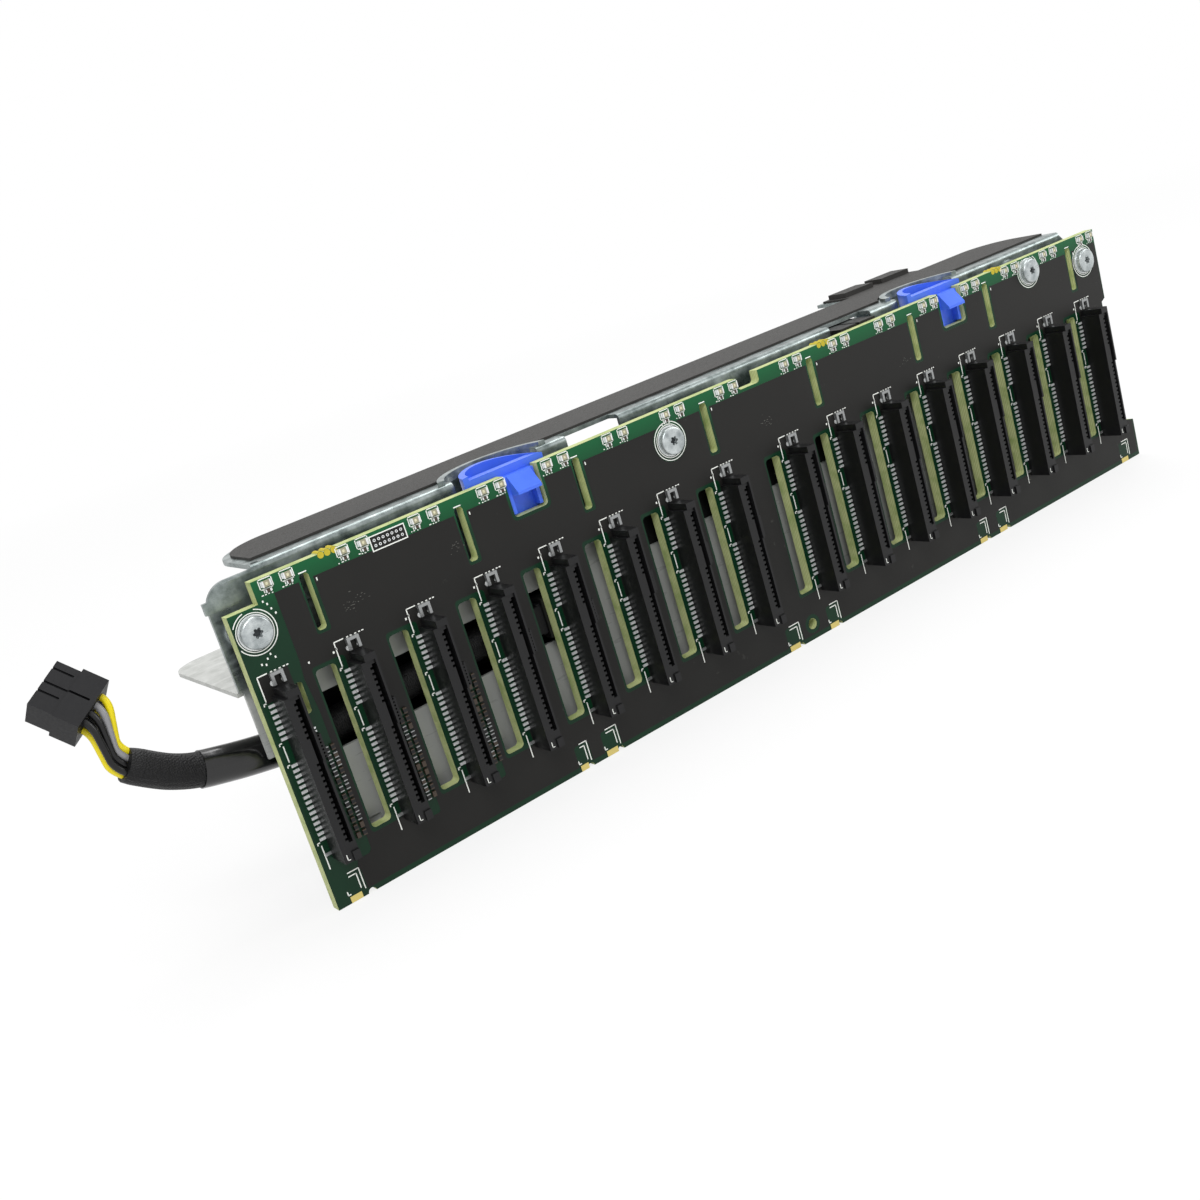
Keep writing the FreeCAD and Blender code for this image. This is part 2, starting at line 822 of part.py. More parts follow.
# ================================================================ screws and standoffs
def make_screws():
    screws = []
    for x, height in screw_axes():
        head_face = board_front - screw_head_height
        head = rod(screw_head_radius, Vector(x, board_front, height),
                   Vector(x, head_face, height))
        rim = [edge for edge in head.Edges
               if len(edge.Vertexes) == 1 and abs(edge.CenterOfMass.y - head_face) < 1e-6]
        head = head.makeFillet(screw_head_height / 3, rim)
        shank = rod(screw_shank_radius, Vector(x, board_front, height),
                    Vector(x, web_rear, height))
        screw = head.fuse(shank)
        floor = head_face + recess_depth
        cuts = [rod(recess_radius, Vector(x, head_face - 1, height), Vector(x, floor, height))]
        for lobe in range(6):
            turn = math.radians(60 * lobe)
            lobe_x = x + recess_radius * math.cos(turn)
            lobe_z = height + recess_radius * math.sin(turn)
            cuts.append(rod(recess_lobe_radius, Vector(lobe_x, head_face - 1, lobe_z),
                            Vector(lobe_x, floor, lobe_z)))
        screws.append(screw.cut(fuse_all(cuts)))
    return screws


def make_standoffs():
    standoffs = []
    for x, height in screw_axes():
        post = rod(standoff_radius, Vector(x, board_rear, height), Vector(x, web_front, height))
        base = rod(standoff_base_radius, Vector(x, web_front - standoff_base_height, height),
                   Vector(x, web_front, height))
        bore = rod(screw_shank_radius + screw_clearance, Vector(x, board_rear - 1, height),
                   Vector(x, web_front + 1, height))
        standoffs.append(post.fuse(base).cut(bore))
    return standoffs


# ================================================================ release latches
def make_latch(offset):
    """Moulded latch: hooked tab in the board's cutout, plate, hinge barrel and arched grip."""
    centre = grip_centre(offset)
    x = along(offset)
    plate_front = board_rear + latch_rear_clearance
    plate_rear = plate_front + latch_plate_thickness
    grip_low = grip_top - grip_height
    solids = [latch_tab(x, plate_rear)]
    solids.append(box(centre.x - latch_plate_width / 2, centre.x + latch_plate_width / 2,
                      plate_front, plate_rear, pivot_height, grip_top - bar_drop))
    barrel_half = latch_window_width / 2 - latch_clearance
    solids.append(rod(pivot_barrel_radius,
                      Vector(centre.x - barrel_half, pivot_depth, pivot_height),
                      Vector(centre.x + barrel_half, pivot_depth, pivot_height)))
    solids.append(box(centre.x - latch_plate_width / 2, centre.x + latch_plate_width / 2,
                      plate_front, pivot_depth, pivot_height - pivot_barrel_radius / 2,
                      pivot_height + pivot_barrel_radius))
    solids.append(latch_grip(centre, plate_front, grip_low))
    bore = rod(pin_radius + pin_running_clearance,
               Vector(centre.x - latch_window_width, pivot_depth, pivot_height),
               Vector(centre.x + latch_window_width, pivot_depth, pivot_height))
    return fuse_all(solids).cut(bore)


def latch_tab(x, plate_rear):
    """Tab that reaches through the cutout and carries the hook above a hollow."""
    half = latch_cutout_width / 2 - latch_clearance
    low = board_height - latch_cutout_depth + latch_clearance
    ledge = board_height - hook_ledge_drop
    top = board_height - hook_top_drop
    face = board_front + hook_reach / 2
    block = box(x - half, x + half, face, plate_rear, low, top)
    hollow = box(x - half + tab_side_wall, x + half - tab_side_wall, face - 1,
                 face + tab_recess_depth, low - 1, ledge)
    tip = board_front - hook_reach
    hook = plate([(tip, ledge), (face + tab_recess_depth, ledge),
                  (face + tab_recess_depth, top), (face, top), (tip, ledge + hook_reach / 3)],
                 x - hook_width / 2, x + hook_width / 2, "X")
    return block.cut(hollow).fuse(hook)


def latch_grip(centre, plate_front, low):
    """Arched grip: a curved rear wall, a straight front bar and a floor, lower at both ends."""
    inner = grip_radius - grip_wall
    keep = box(centre.x - 2 * grip_radius, centre.x + 2 * grip_radius, plate_front,
               centre.y + 2 * grip_radius, low, grip_top)
    wall = ring(centre, inner, grip_radius, low, grip_top).common(keep)
    floor = Part.makeCylinder(grip_radius, grip_floor, Vector(centre.x, centre.y, low))
    bar = Part.makeCylinder(grip_radius, grip_height - bar_drop,
                            Vector(centre.x, centre.y, low)).common(
        box(centre.x - 2 * grip_radius, centre.x + 2 * grip_radius, plate_front,
            plate_front + bar_depth, low, grip_top))
    ridge_front = plate_front + bar_depth + (grip_radius - grip_wall - bar_depth) / 3
    ridge = Part.makeCylinder(inner + grip_wall / 2, grip_height - ridge_drop,
                              Vector(centre.x, centre.y, low)).common(
        box(centre.x - 2 * grip_radius, centre.x + 2 * grip_radius, ridge_front,
            ridge_front + ridge_depth, low, grip_top))
    arch_x, arch_z = centre.x - grip_arch_shift, grip_top - grip_arch_radius
    arch = rod(grip_arch_radius, Vector(arch_x, plate_front - 1, arch_z),
               Vector(arch_x, centre.y + 2 * grip_radius, arch_z))
    return fuse_all([wall, floor.common(keep), bar, ridge]).common(arch)


# ================================================================ rear connectors
def make_data_connector(index):
    """Rear data connector: a metal-shelled block with a slot for the cable's tongue."""
    left, right = data_connector_sides(index)
    rear = board_rear + data_connector_height
    low = data_window_bottom + data_connector_margin
    high = flange_under - data_connector_top_gap
    block = box(left, right, board_rear, rear, low, high)
    middle = (left + right) / 2
    slot = box(middle - data_slot_width / 2, middle + data_slot_width / 2,
               rear - data_slot_depth, rear + 1, low + 4 * data_shell, high - 4 * data_shell)
    return block.cut(slot)


def data_connector_sides(index):
    left = along(data_window_offset) + data_connector_gap / 2
    left += index * (data_connector_width + data_connector_gap)
    return left, left + data_connector_width


def make_power_header():
    """Right-angle power header on the board's rear, open towards the mated plug."""
    left = along(header_left_offset)
    half = header_height / 2
    block = box(left, left + header_length, board_rear, board_rear + header_width,
                header_level - half, header_level + half)
    pocket = box(left - 1, left + header_length / 2, board_rear + plug_collar,
                 board_rear + header_width - plug_collar, header_level - half + plug_collar,
                 header_level + half - plug_collar)
    return block.cut(pocket)


def make_mated_plug():
    """Harness plug seated against the power header's mouth."""
    right = along(header_left_offset)
    half = plug_height / 2
    middle = board_rear + header_width / 2
    body = box(right - plug_length, right, board_rear + plug_collar,
               board_rear + header_width - plug_collar, header_level - half, header_level + half)
    nose_half = (header_height - 2 * plug_collar) / 2 - latch_rear_clearance
    nose = box(right - 1, right + header_length / 2 - latch_rear_clearance,
               board_rear + plug_collar + latch_rear_clearance,
               board_rear + header_width - plug_collar - latch_rear_clearance,
               header_level - nose_half, header_level + nose_half)
    arm = box(right - plug_length / 2, right, middle - latch_arm_width / 2,
              middle + latch_arm_width / 2, header_level + half,
              header_level + half + latch_arm_height)
    return fuse_all([body, nose, arm])


def make_controller():
    """Control chip on the board's rear, inside the top channel."""
    _, last_side = data_connector_sides(1)
    left = last_side + controller_gap
    low = board_height - controller_drop
    return box(left, left + controller_size, board_rear, board_rear + controller_height,
               low, low + controller_size)


def make_duct():
    """Plastic channel behind the web that covers the power header and its harness."""
    left, right = at_share(duct_left_share), at_share(duct_right_share)
    rear = web_rear + duct_depth
    low, high = header_level - duct_below, shelf_top - sheet - shelf_lip
    room = box(left - 1, right - duct_wall, web_rear - 1, rear - duct_wall,
               low + duct_wall, high - duct_wall)
    return box(left, right, web_rear, rear, low, high).cut(room)


# ================================================================ power harness
def tangent_path(points):
    """Edges of a route: straight runs joined by arcs as large as the shorter run allows."""
    edges = []
    radii = []
    start = points[0]
    for before, corner, after in zip(points, points[1:], points[2:]):
        run_in, run_out = corner.sub(before), after.sub(corner)
        unit_in, unit_out = unit(run_in), unit(run_out)
        turn = unit_in.getAngle(unit_out)
        trim = 0.45 * min(run_in.Length, run_out.Length)
        radius = trim / math.tan(turn / 2)
        radii.append(radius)
        arc_start = corner.sub(unit_in * trim)
        arc_end = corner.add(unit_out * trim)
        inward = unit(unit_out.sub(unit_in))
        arc_middle = corner.add(inward * (radius / math.cos(turn / 2) - radius))
        edges.append(Part.makeLine(start, arc_start))
        edges.append(Part.Arc(arc_start, arc_middle, arc_end).toShape())
        start = arc_end
    edges.append(Part.makeLine(start, points[-1]))
    return edges, radii


def tube(edges, radius):
    """Round solid swept along joined edges."""
    first = edges[0]
    start = first.valueAt(first.FirstParameter)
    heading = first.tangentAt(first.FirstParameter)
    circle = Part.makeCircle(radius, start, heading)
    wire = Part.Wire(edges)
    return wire.makePipeShell([Part.Wire([circle])], True, False)


def route_length(edges):
    return sum(edge.Length for edge in edges)


def part_of_route(edges, start, length):
    """The stretch of a route from start to start + length, both measured along it."""
    pieces = []
    passed = 0
    for edge in edges:
        low = max(start - passed, 0)
        high = min(start + length - passed, edge.Length)
        if high > low:
            first = edge.getParameterByLength(low)
            last = edge.getParameterByLength(high)
            pieces.append(edge.Curve.toShape(first, last))
        passed += edge.Length
    return pieces


# Corners of the harness's line, from the board's left edge, its rear face and the header's level.
harness_steps = (
    (46.7, 6.5, 0.0),
    (29.7, 7.9, -2.1),
    (12.2, 9.7, -3.7),
    (-3.3, 10.3, -1.5),
    (-13.1, 10.1, 0.7),
    (-17.3, 9.8, 2.33),
    (-21.21, 9.45, 4.55),
    (-24.84, 9.05, 7.38),
)
plug_from_sleeve = Vector(-7.26, 3.65, 17.82)             # loose plug's middle from the sleeve's end
loose_plug_ahead = unit(Vector(-0.587, 0.445, 0.670))     # from the wires towards the mouth
loose_plug_across = unit(Vector(-0.827, -0.440, -0.350))  # along the row of ways


def harness_points():
    plug_rear = Vector(along(header_left_offset) - plug_length, board_rear + header_width / 2,
                       header_level)
    zero = Vector(board_left, board_rear, header_level)
    return [plug_rear] + [zero.add(Vector(*step)) for step in harness_steps]


def loose_plug_centre():
    return harness_points()[-1].add(plug_from_sleeve)


def make_harness():
    edges, radii = tangent_path(harness_points())
    report_tube("harness", edges, radii, harness_diameter, tube(edges, harness_diameter / 2))
    return tube(edges, harness_diameter / 2)


def report_tube(name, edges, radii, diameter, solid):
    section = math.pi * diameter ** 2 / 4
    ratio = solid.Volume / (section * route_length(edges))
    smallest = min(radii) / diameter
    print(f"{name}: length {route_length(edges):.1f}, radii {[round(r, 1) for r in radii]}, "
          f"smallest {smallest:.1f} diameters, volume ratio {ratio:.4f}")


def make_shrink():
    edges, _ = tangent_path(harness_points())
    stretch = part_of_route(edges, shrink_start, shrink_length)
    inner = harness_diameter / 2
    return tube(stretch, inner + shrink_thickness).cut(tube(stretch, inner))


def plug_frame():
    """Axes of the loose plug: ahead, along the ways, and across the two rows."""
    ahead = loose_plug_ahead
    across = unit(loose_plug_across.sub(ahead * loose_plug_across.dot(ahead)))
    return ahead, across, ahead.cross(across)


def wire_grid():
    """Places of the wires: two rows of four, about the middle."""
    places = []
    for row in (-0.5, 0.5):
        for way in range(plug_ways):
            places.append((way - (plug_ways - 1) / 2, row))
    return places


def meet(point, heading, corner, normal):
    """Where the line from a point along a heading meets the plane through a corner."""
    return point.add(heading * (corner.sub(point).dot(normal) / heading.dot(normal)))


def wire_routes():
    """Route of each wire: out of the sleeve, across, and straight into the loose plug.

    Both bends of every wire lie on the mitre planes of the bundle's own bends, so the wires
    keep their spacing.
    """
    ahead, across, over = plug_frame()
    before, end = harness_points()[-2:]
    heading = unit(end.sub(before))
    side = unit(across.sub(heading * across.dot(heading)))
    up = heading.cross(side)
    mouth = loose_plug_centre().sub(ahead * (plug_length / 2))
    first_bend = end.add(heading * sleeve_lead)
    second_bend = mouth.sub(ahead * plug_lead)
    crossing = unit(second_bend.sub(first_bend))
    routes = []
    for way, row in wire_grid():
        start = end.add(side * (way * wire_spacing)).add(up * (row * wire_spacing))
        entry = mouth.add(across * (way * plug_width / plug_ways))
        entry = entry.add(over * (row * plug_height / 2))
        routes.append([start, meet(start, heading, first_bend, heading.add(crossing)),
                       meet(entry, ahead, second_bend, crossing.add(ahead)), entry])
    return routes


def make_wires():
    """Eight wires that fan out from the sleeve's end into the loose plug."""
    wires = []
    for number, route in enumerate(wire_routes(), 1):
        edges, radii = tangent_path(route)
        solid = tube(edges, wire_diameter / 2)
        report_tube(f"wire {number}", edges, radii, wire_diameter, solid)
        wires.append(solid)
    return wires


def make_loose_plug():
    """Free plug of the harness: a slotted block with a collar at the wires and a latch arm."""
    ahead, across, over = plug_frame()
    half_length, half_width, half_height = plug_length / 2, plug_width / 2, plug_height / 2
    body = box(-half_length, half_length, -half_width, half_width, -half_height, half_height)
    collar = box(-half_length, plug_collar_length - half_length,
                 -half_width - plug_collar_step, half_width + plug_collar_step,
                 -half_height - plug_collar_step, half_height + plug_collar_step)
    arm = box(-half_length / 2, half_length - plug_collar, -latch_arm_width / 2,
              latch_arm_width / 2, -half_height - latch_arm_height, -half_height)
    solid = fuse_all([body, collar, arm])
    way_pitch = plug_width / plug_ways
    cuts = []
    for place, reach in plug_slots:
        y = -half_width + place * plug_width
        cuts.append(box(half_length - reach * plug_length, half_length + 1,
                        y - plug_groove / 2, y + plug_groove / 2,
                        half_height - plug_groove, half_height + 1))
    for way in range(plug_ways):
        for row in (-0.5, 0.5):
            y = -half_width + (way + 0.5) * way_pitch
            z = row * half_height
            reach = way_pitch / 2 - plug_groove
            cuts.append(box(half_length - plug_collar * 4, half_length + 1, y - reach, y + reach,
                            z - reach, z + reach))
    solid = cut_all(solid, cuts)
    centre = loose_plug_centre()
    matrix = FreeCAD.Matrix(ahead.x, across.x, over.x, centre.x,
                            ahead.y, across.y, over.y, centre.y,
                            ahead.z, across.z, over.z, centre.z,
                            0, 0, 0, 1)
    return solid.transformed(matrix)


def main():
    os.makedirs("parts", exist_ok=True)
    save("backplane_board", make_board())
    for number, offset in enumerate(connector_offsets(), 1):
        save(f"drive_connector_{number:02d}", make_housing(offset))
    save("contact_tails", make_tails())
    save("connector_hold_downs", make_hold_downs())
    save("status_lamps", make_lamps())
    save("lamp_resistors", make_lamp_resistors())
    save("chip_components", make_passives())
    save("mounting_bracket", make_bracket())
    save("cable_shelf", make_shelf())
    save("top_cover", make_cover())
    save("cover_pads", make_cover_pads())
    save("insulating_strip", make_strip())
    save("mounting_screws", make_screws())
    save("standoffs", make_standoffs())
    for side, offset in zip(("left", "right"), latch_offsets):
        save(f"{side}_latch", make_latch(offset))
        save(f"{side}_latch_pin", hinge_bore(offset))
    for index, name in enumerate(("a", "b")):
        save(f"data_connector_{name}", make_data_connector(index))
    save("control_chip", make_controller())
    save("power_header", make_power_header())
    save("mated_plug", make_mated_plug())
    save("harness_duct", make_duct())
    save("harness_sleeve", make_harness())
    save("shrink_sleeve", make_shrink())
    save("harness_wires", make_wires())
    save("loose_plug", make_loose_plug())


main()
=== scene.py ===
"""Looks of the drive backplane board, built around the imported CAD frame.

Lengths on the object are millimetres in the CAD's frame until they are handed to Blender. The
camera, the stage, the lights and the scales and depths of the materials are in metres.
"""

import math
import random

import bmesh
import bpy
from mathutils import Matrix, Vector


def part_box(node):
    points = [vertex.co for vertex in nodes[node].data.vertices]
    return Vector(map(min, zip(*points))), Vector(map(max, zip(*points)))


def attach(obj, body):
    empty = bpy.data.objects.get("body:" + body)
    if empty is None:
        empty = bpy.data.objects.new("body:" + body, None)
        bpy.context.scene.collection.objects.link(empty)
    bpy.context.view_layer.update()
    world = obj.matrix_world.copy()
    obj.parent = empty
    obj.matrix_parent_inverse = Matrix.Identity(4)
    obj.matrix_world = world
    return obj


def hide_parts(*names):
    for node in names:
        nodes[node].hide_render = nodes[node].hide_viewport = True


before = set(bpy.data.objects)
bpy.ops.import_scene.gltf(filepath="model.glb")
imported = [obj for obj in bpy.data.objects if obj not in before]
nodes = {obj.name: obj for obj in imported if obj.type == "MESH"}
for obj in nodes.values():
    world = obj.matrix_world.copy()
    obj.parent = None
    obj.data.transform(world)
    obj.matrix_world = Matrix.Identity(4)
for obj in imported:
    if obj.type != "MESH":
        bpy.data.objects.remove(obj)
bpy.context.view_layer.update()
random.seed(11)
scene = bpy.context.scene
scene.view_settings.view_transform = "Standard"
CHASSIS = "chassis"          # the body that everything added here rides on
CONNECTORS = [f"drive_connector_{number:02d}" for number in range(1, 17)]
BOARD_FRONT = -1.5           # the board's front face
INK = 0.03                   # thickness of one printed layer
GROUND = INK * 1.3           # dark patch under a printed frame
SILK = INK * 1.6             # white print, proud of the dark layer


def mm(*values):
    return tuple(value / 1000 for value in values)


# ---------------------------------------------------------------- camera
LENS = 41.661
SENSOR = 36.0
CAMERA_PLACE = (-0.230715, -0.277342, 0.128540)
CAMERA_AHEAD = (0.49980, 0.82228, -0.27213)
CAMERA_UP = (0.38514, 0.07043, 0.92017)


def make_camera():
    data = bpy.data.cameras.new("camera")
    data.lens = LENS
    data.sensor_width = SENSOR
    data.clip_start = 0.01
    data.clip_end = 20.0
    camera = bpy.data.objects.new("camera", data)
    scene.collection.objects.link(camera)
    ahead = Vector(CAMERA_AHEAD).normalized()
    sideways = ahead.cross(Vector(CAMERA_UP)).normalized()
    turned = Matrix((sideways, sideways.cross(ahead), -ahead)).transposed().to_4x4()
    camera.matrix_world = Matrix.Translation(CAMERA_PLACE) @ turned
    scene.camera = camera


make_camera()


# ---------------------------------------------------------------- material helpers
def linear(value):
    value /= 255
    return value / 12.92 if value <= 0.04045 else ((value + 0.055) / 1.055) ** 2.4


def rgb(red, green, blue):
    return (linear(red), linear(green), linear(blue), 1.0)


class Shader:
    """A node material under construction: a Principled shader and what feeds it."""

    def __init__(self, name, color, rough, metal=0.0, coat=0.0, coat_rough=0.2, specular=0.5):
        self.material = bpy.data.materials.new(name)
        self.material.use_nodes = True
        self.tree = self.material.node_tree
        self.main = self.tree.nodes["Principled BSDF"]
        self.main.inputs["Base Color"].default_value = color
        self.main.inputs["Roughness"].default_value = rough
        self.main.inputs["Metallic"].default_value = metal
        self.main.inputs["Coat Weight"].default_value = coat
        self.main.inputs["Coat Roughness"].default_value = coat_rough
        self.main.inputs["Specular IOR Level"].default_value = specular
        self.material.diffuse_color = color

    def add(self, kind, **inputs):
        """A new node; a name's underscores stand for the spaces in its socket's name."""
        node = self.tree.nodes.new(kind)
        for key, value in inputs.items():
            self.put(node, key.replace("_", " "), value)
        return node

    def put(self, node, key, value):
        """Links a socket to another's output or gives it a plain value; key is a name or index."""
        socket = node.inputs[int(key) if key.isdigit() else key]
        if isinstance(value, bpy.types.NodeSocket):
            self.tree.links.new(value, socket)
        else:
            socket.default_value = value

    def place(self, stretch=(1, 1, 1), turn=(0, 0, 0)):
        """The object's own coordinates, stretched and turned."""
        source = self.add("ShaderNodeTexCoord")
        mapping = self.add("ShaderNodeMapping", Scale=stretch, Rotation=turn)
        self.tree.links.new(source.outputs["Object"], mapping.inputs["Vector"])
        return mapping.outputs["Vector"]

    def noise(self, scale, detail=4.0, roughness=0.55, vector=None):
        node = self.add("ShaderNodeTexNoise", Scale=scale, Detail=detail, Roughness=roughness,
                        Vector=vector or self.place())
        return node.outputs["Fac"]

    def cells(self, scale, randomness=1.0):
        node = self.add("ShaderNodeTexVoronoi", Scale=scale, Randomness=randomness,
                        Vector=self.place())
        return node.outputs["Distance"]

    def math(self, operation, first, second=0.0, clamp=False):
        node = self.tree.nodes.new("ShaderNodeMath")
        node.operation = operation
        node.use_clamp = clamp
        self.put(node, "0", first)
        self.put(node, "1", second)
        return node.outputs["Value"]

    def ramp(self, value, low, high, start=0.0, end=1.0):
        """value carried from the range start-end to low-high, held inside it."""
        node = self.tree.nodes.new("ShaderNodeMapRange")
        for key, number in (("Value", value), ("From Min", start), ("From Max", end),
                            ("To Min", low), ("To Max", high)):
            self.put(node, key, number)
        return node.outputs["Result"]

    def mix(self, share, first, second):
        """Colour between two others; sockets 6 and 7 and output 2 are the node's colours."""
        node = self.tree.nodes.new("ShaderNodeMix")
        node.data_type = "RGBA"
        for index, value in ((0, share), (6, first), (7, second)):
            self.put(node, str(index), value)
        return node.outputs[2]

    def color(self, value):
        self.put(self.main, "Base Color", value)

    def rough(self, value):
        self.put(self.main, "Roughness", value)

    def bump(self, height, strength=0.3, distance=0.0002):
        node = self.add("ShaderNodeBump", Strength=strength, Distance=distance, Height=height)
        self.tree.links.new(node.outputs["Normal"], self.main.inputs["Normal"])

    def normal_axis(self, axis):
        """Size of the surface normal's part along one axis of the object."""
        source = self.add("ShaderNodeTexCoord")
        split = self.add("ShaderNodeSeparateXYZ")
        self.tree.links.new(source.outputs["Normal"], split.inputs[0])
        return self.math("ABSOLUTE", split.outputs[axis])

    def where(self, axis):
        """The object's own coordinate along one axis, in metres."""
        split = self.add("ShaderNodeSeparateXYZ")
        self.tree.links.new(self.place(), split.inputs[0])
        return split.outputs[axis]


def shaded(color, factor):
    """A colour made darker or lighter by a factor, held at 1."""
    return tuple(min(channel * factor, 1.0) for channel in color[:3]) + (1.0,)


def plain(name, color, rough, metal=0.0, grain=900.0, spread=0.12, bumpy=0.15, depth=0.00005,
          coat=0.0, specular=0.5):
    """A surface with gentle colour and gloss variation and a fine grain."""
    shader = Shader(name, color, rough, metal, coat, specular=specular)
    broad = shader.noise(60.0, 3.0)
    fine = shader.noise(grain, 5.0)
    shader.color(shader.mix(broad, shaded(color, 1 - spread), shaded(color, 1 + spread)))
    shader.rough(shader.ramp(fine, max(rough - 0.07, 0.02), min(rough + 0.07, 1.0), 0.3, 0.7))
    shader.bump(fine, bumpy, depth)
    return shader.material


def dress(material, *names):
    """Gives CAD nodes a material."""
    for name in names:
        for slot in nodes[name].material_slots:
            slot.material = material


# ---------------------------------------------------------------- shape helpers
def new_object(name, data, material):
    """A piece on the chassis with its material."""
    obj = bpy.data.objects.new(name, data)
    scene.collection.objects.link(obj)
    obj.data.materials.append(material)
    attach(obj, CHASSIS)
    return obj


def filled(name, loops):
    """Flat mesh in x and y between closed loops; inner loops are holes."""
    curve = bpy.data.curves.new(name, "CURVE")
    curve.dimensions = "2D"
    curve.fill_mode = "BOTH"
    for loop in loops:
        spline = curve.splines.new("POLY")
        spline.points.add(len(loop) - 1)
        for point, (x, y) in zip(spline.points, loop):
            point.co = (x, y, 0, 1)
        spline.use_cyclic_u = True
    holder = bpy.data.objects.new(name + "_flat", curve)
    scene.collection.objects.link(holder)
    flat = bpy.data.meshes.new_from_object(holder)
    bpy.data.objects.remove(holder)
    bpy.data.curves.remove(curve)
    return flat


def printed(name, loops, material, front=BOARD_FRONT - INK, back=BOARD_FRONT):
    """Thin flat layer on the board's face: closed loops of (x, z), inner loops are holes."""
    flat = filled(name, loops)
    work = bmesh.new()
    work.from_mesh(flat)
    bpy.data.meshes.remove(flat)
    bmesh.ops.remove_doubles(work, verts=work.verts, dist=1e-5)
    for vertex in work.verts:
        x, z, _ = vertex.co
        vertex.co = mm(x, back, z)
    bmesh.ops.recalc_face_normals(work, faces=work.faces)
    grown = bmesh.ops.extrude_face_region(work, geom=work.faces[:])
    for item in grown["geom"]:
        if isinstance(item, bmesh.types.BMVert):
            item.co.y = front / 1000
    bmesh.ops.recalc_face_normals(work, faces=work.faces)
    mesh = bpy.data.meshes.new(name)
    work.to_mesh(mesh)
    work.free()
    new_object(name, mesh, material)


def boxes(name, items, material, bevel=0.0):
    """One piece made of many small blocks: (x0, x1, y0, y1, z0, z1)."""
    work = bmesh.new()
    for x0, x1, y0, y1, z0, z1 in items:
        size = Vector(mm(x1 - x0, y1 - y0, z1 - z0))
        middle = Vector(mm((x0 + x1) / 2, (y0 + y1) / 2, (z0 + z1) / 2))
        matrix = Matrix.Translation(middle) @ Matrix.Diagonal((*size, 1))
        bmesh.ops.create_cube(work, size=1, matrix=matrix)
    if bevel:
        bmesh.ops.bevel(work, geom=work.edges[:], offset=bevel / 1000, segments=1,
                        affect="EDGES")
    mesh = bpy.data.meshes.new(name)
    work.to_mesh(mesh)
    work.free()
    new_object(name, mesh, material)


def front_block(x, z, width, height, proud):
    """Small block on the board's face, about a middle point."""
    return (x - width / 2, x + width / 2, BOARD_FRONT - proud, BOARD_FRONT,
            z - height / 2, z + height / 2)


def rectangle(x0, x1, z0, z1):
    return [(x0, z0), (x1, z0), (x1, z1), (x0, z1)]


def around(x, z, reach, turn):
    """The point at a distance and an angle from another."""
    return x + reach * math.cos(turn), z + reach * math.sin(turn)


def rounded(x0, x1, z0, z1, radius):
    """Rectangle with rounded corners."""
    steps = 5
    corners = ((x1 - radius, z1 - radius, 0), (x0 + radius, z1 - radius, 90),
               (x0 + radius, z0 + radius, 180), (x1 - radius, z0 + radius, 270))
    return [around(x, z, radius, math.radians(start + 90 * step / steps))
            for x, z, start in corners for step in range(steps + 1)]


def circle(x, z, radius, count):
    return [around(x, z, radius, 2 * math.pi * step / count) for step in range(count)]


def cord_piece(name, points, radius, material, shares=None):
    """Smooth cord: the route's points are the control points of one open spline.

    shares gives each point its part of the radius, where the cord tapers.
    """
    curve = bpy.data.curves.new(name, "CURVE")
    curve.dimensions = "3D"
    curve.resolution_u = 12
    curve.bevel_depth = radius / 1000
    curve.bevel_resolution = 6
    curve.use_fill_caps = True
    spline = curve.splines.new("NURBS")
    spline.points.add(len(points) - 1)
    for point, place, share in zip(spline.points, points, shares or [1.0] * len(points)):
        point.co = (*mm(*place), 1)
        point.radius = share
    spline.order_u = 3
    spline.use_endpoint_u = True
    return new_object(name, curve, material)


# ---------------------------------------------------------------- materials
# heights over the board's bottom edge between which a material changes, in metres
PALER_GREEN = (0.066, 0.0735)           # the green mask, towards the upper edge
SNAPPED_EDGE = (0.07435, 0.0745)        # the cut edge, onto the snapped stubs
PAINTED_LIGHT_SHEET = (0.0495, 0.0535)         # the bracket's sheet, from its dull lower part with painted light to the bright metal above


def board_material():
    """Green solder mask on the faces, pale laminate at every cut edge."""
    shader = Shader("green_mask", rgb(6, 62, 34), 0.34, coat=0.06, coat_rough=0.12,
                    specular=0.2)
    cloud = shader.noise(38.0, 3.0)
    weave = shader.noise(1500.0, 2.0)
    deep = shader.mix(cloud, rgb(2, 33, 18), rgb(4, 50, 27))
    rise = shader.ramp(shader.where(2), 0.0, 1.0, *PALER_GREEN)
    green = shader.mix(rise, deep, rgb(10, 84, 46))
    layers = shader.add("ShaderNodeTexWave", Scale=520.0, Distortion=1.2, Detail=2.0,
                        Vector=shader.place((0.02, 1, 0.02)))
    layers.bands_direction = "Y"
    tan = shader.mix(layers.outputs["Fac"], rgb(168, 176, 118), rgb(205, 212, 160))
    worn = shader.mix(shader.ramp(shader.noise(260.0, 4.0), 0.0, 0.7, 0.45, 0.7), tan,
                      rgb(140, 160, 96))
    flat = shader.ramp(shader.normal_axis("Y"), 0.0, 1.0, 0.5, 0.6)
    snapped = shader.ramp(shader.where(2), 0.0, 1.0, *SNAPPED_EDGE)
    cut = shader.mix(snapped, worn, rgb(186, 170, 52))
    shader.color(shader.mix(flat, cut, green))
    shader.rough(shader.mix(flat, (0.75, 0.75, 0.75, 1), (0.34, 0.34, 0.34, 1)))
    shader.bump(weave, 0.12, 0.00003)
    return shader.material


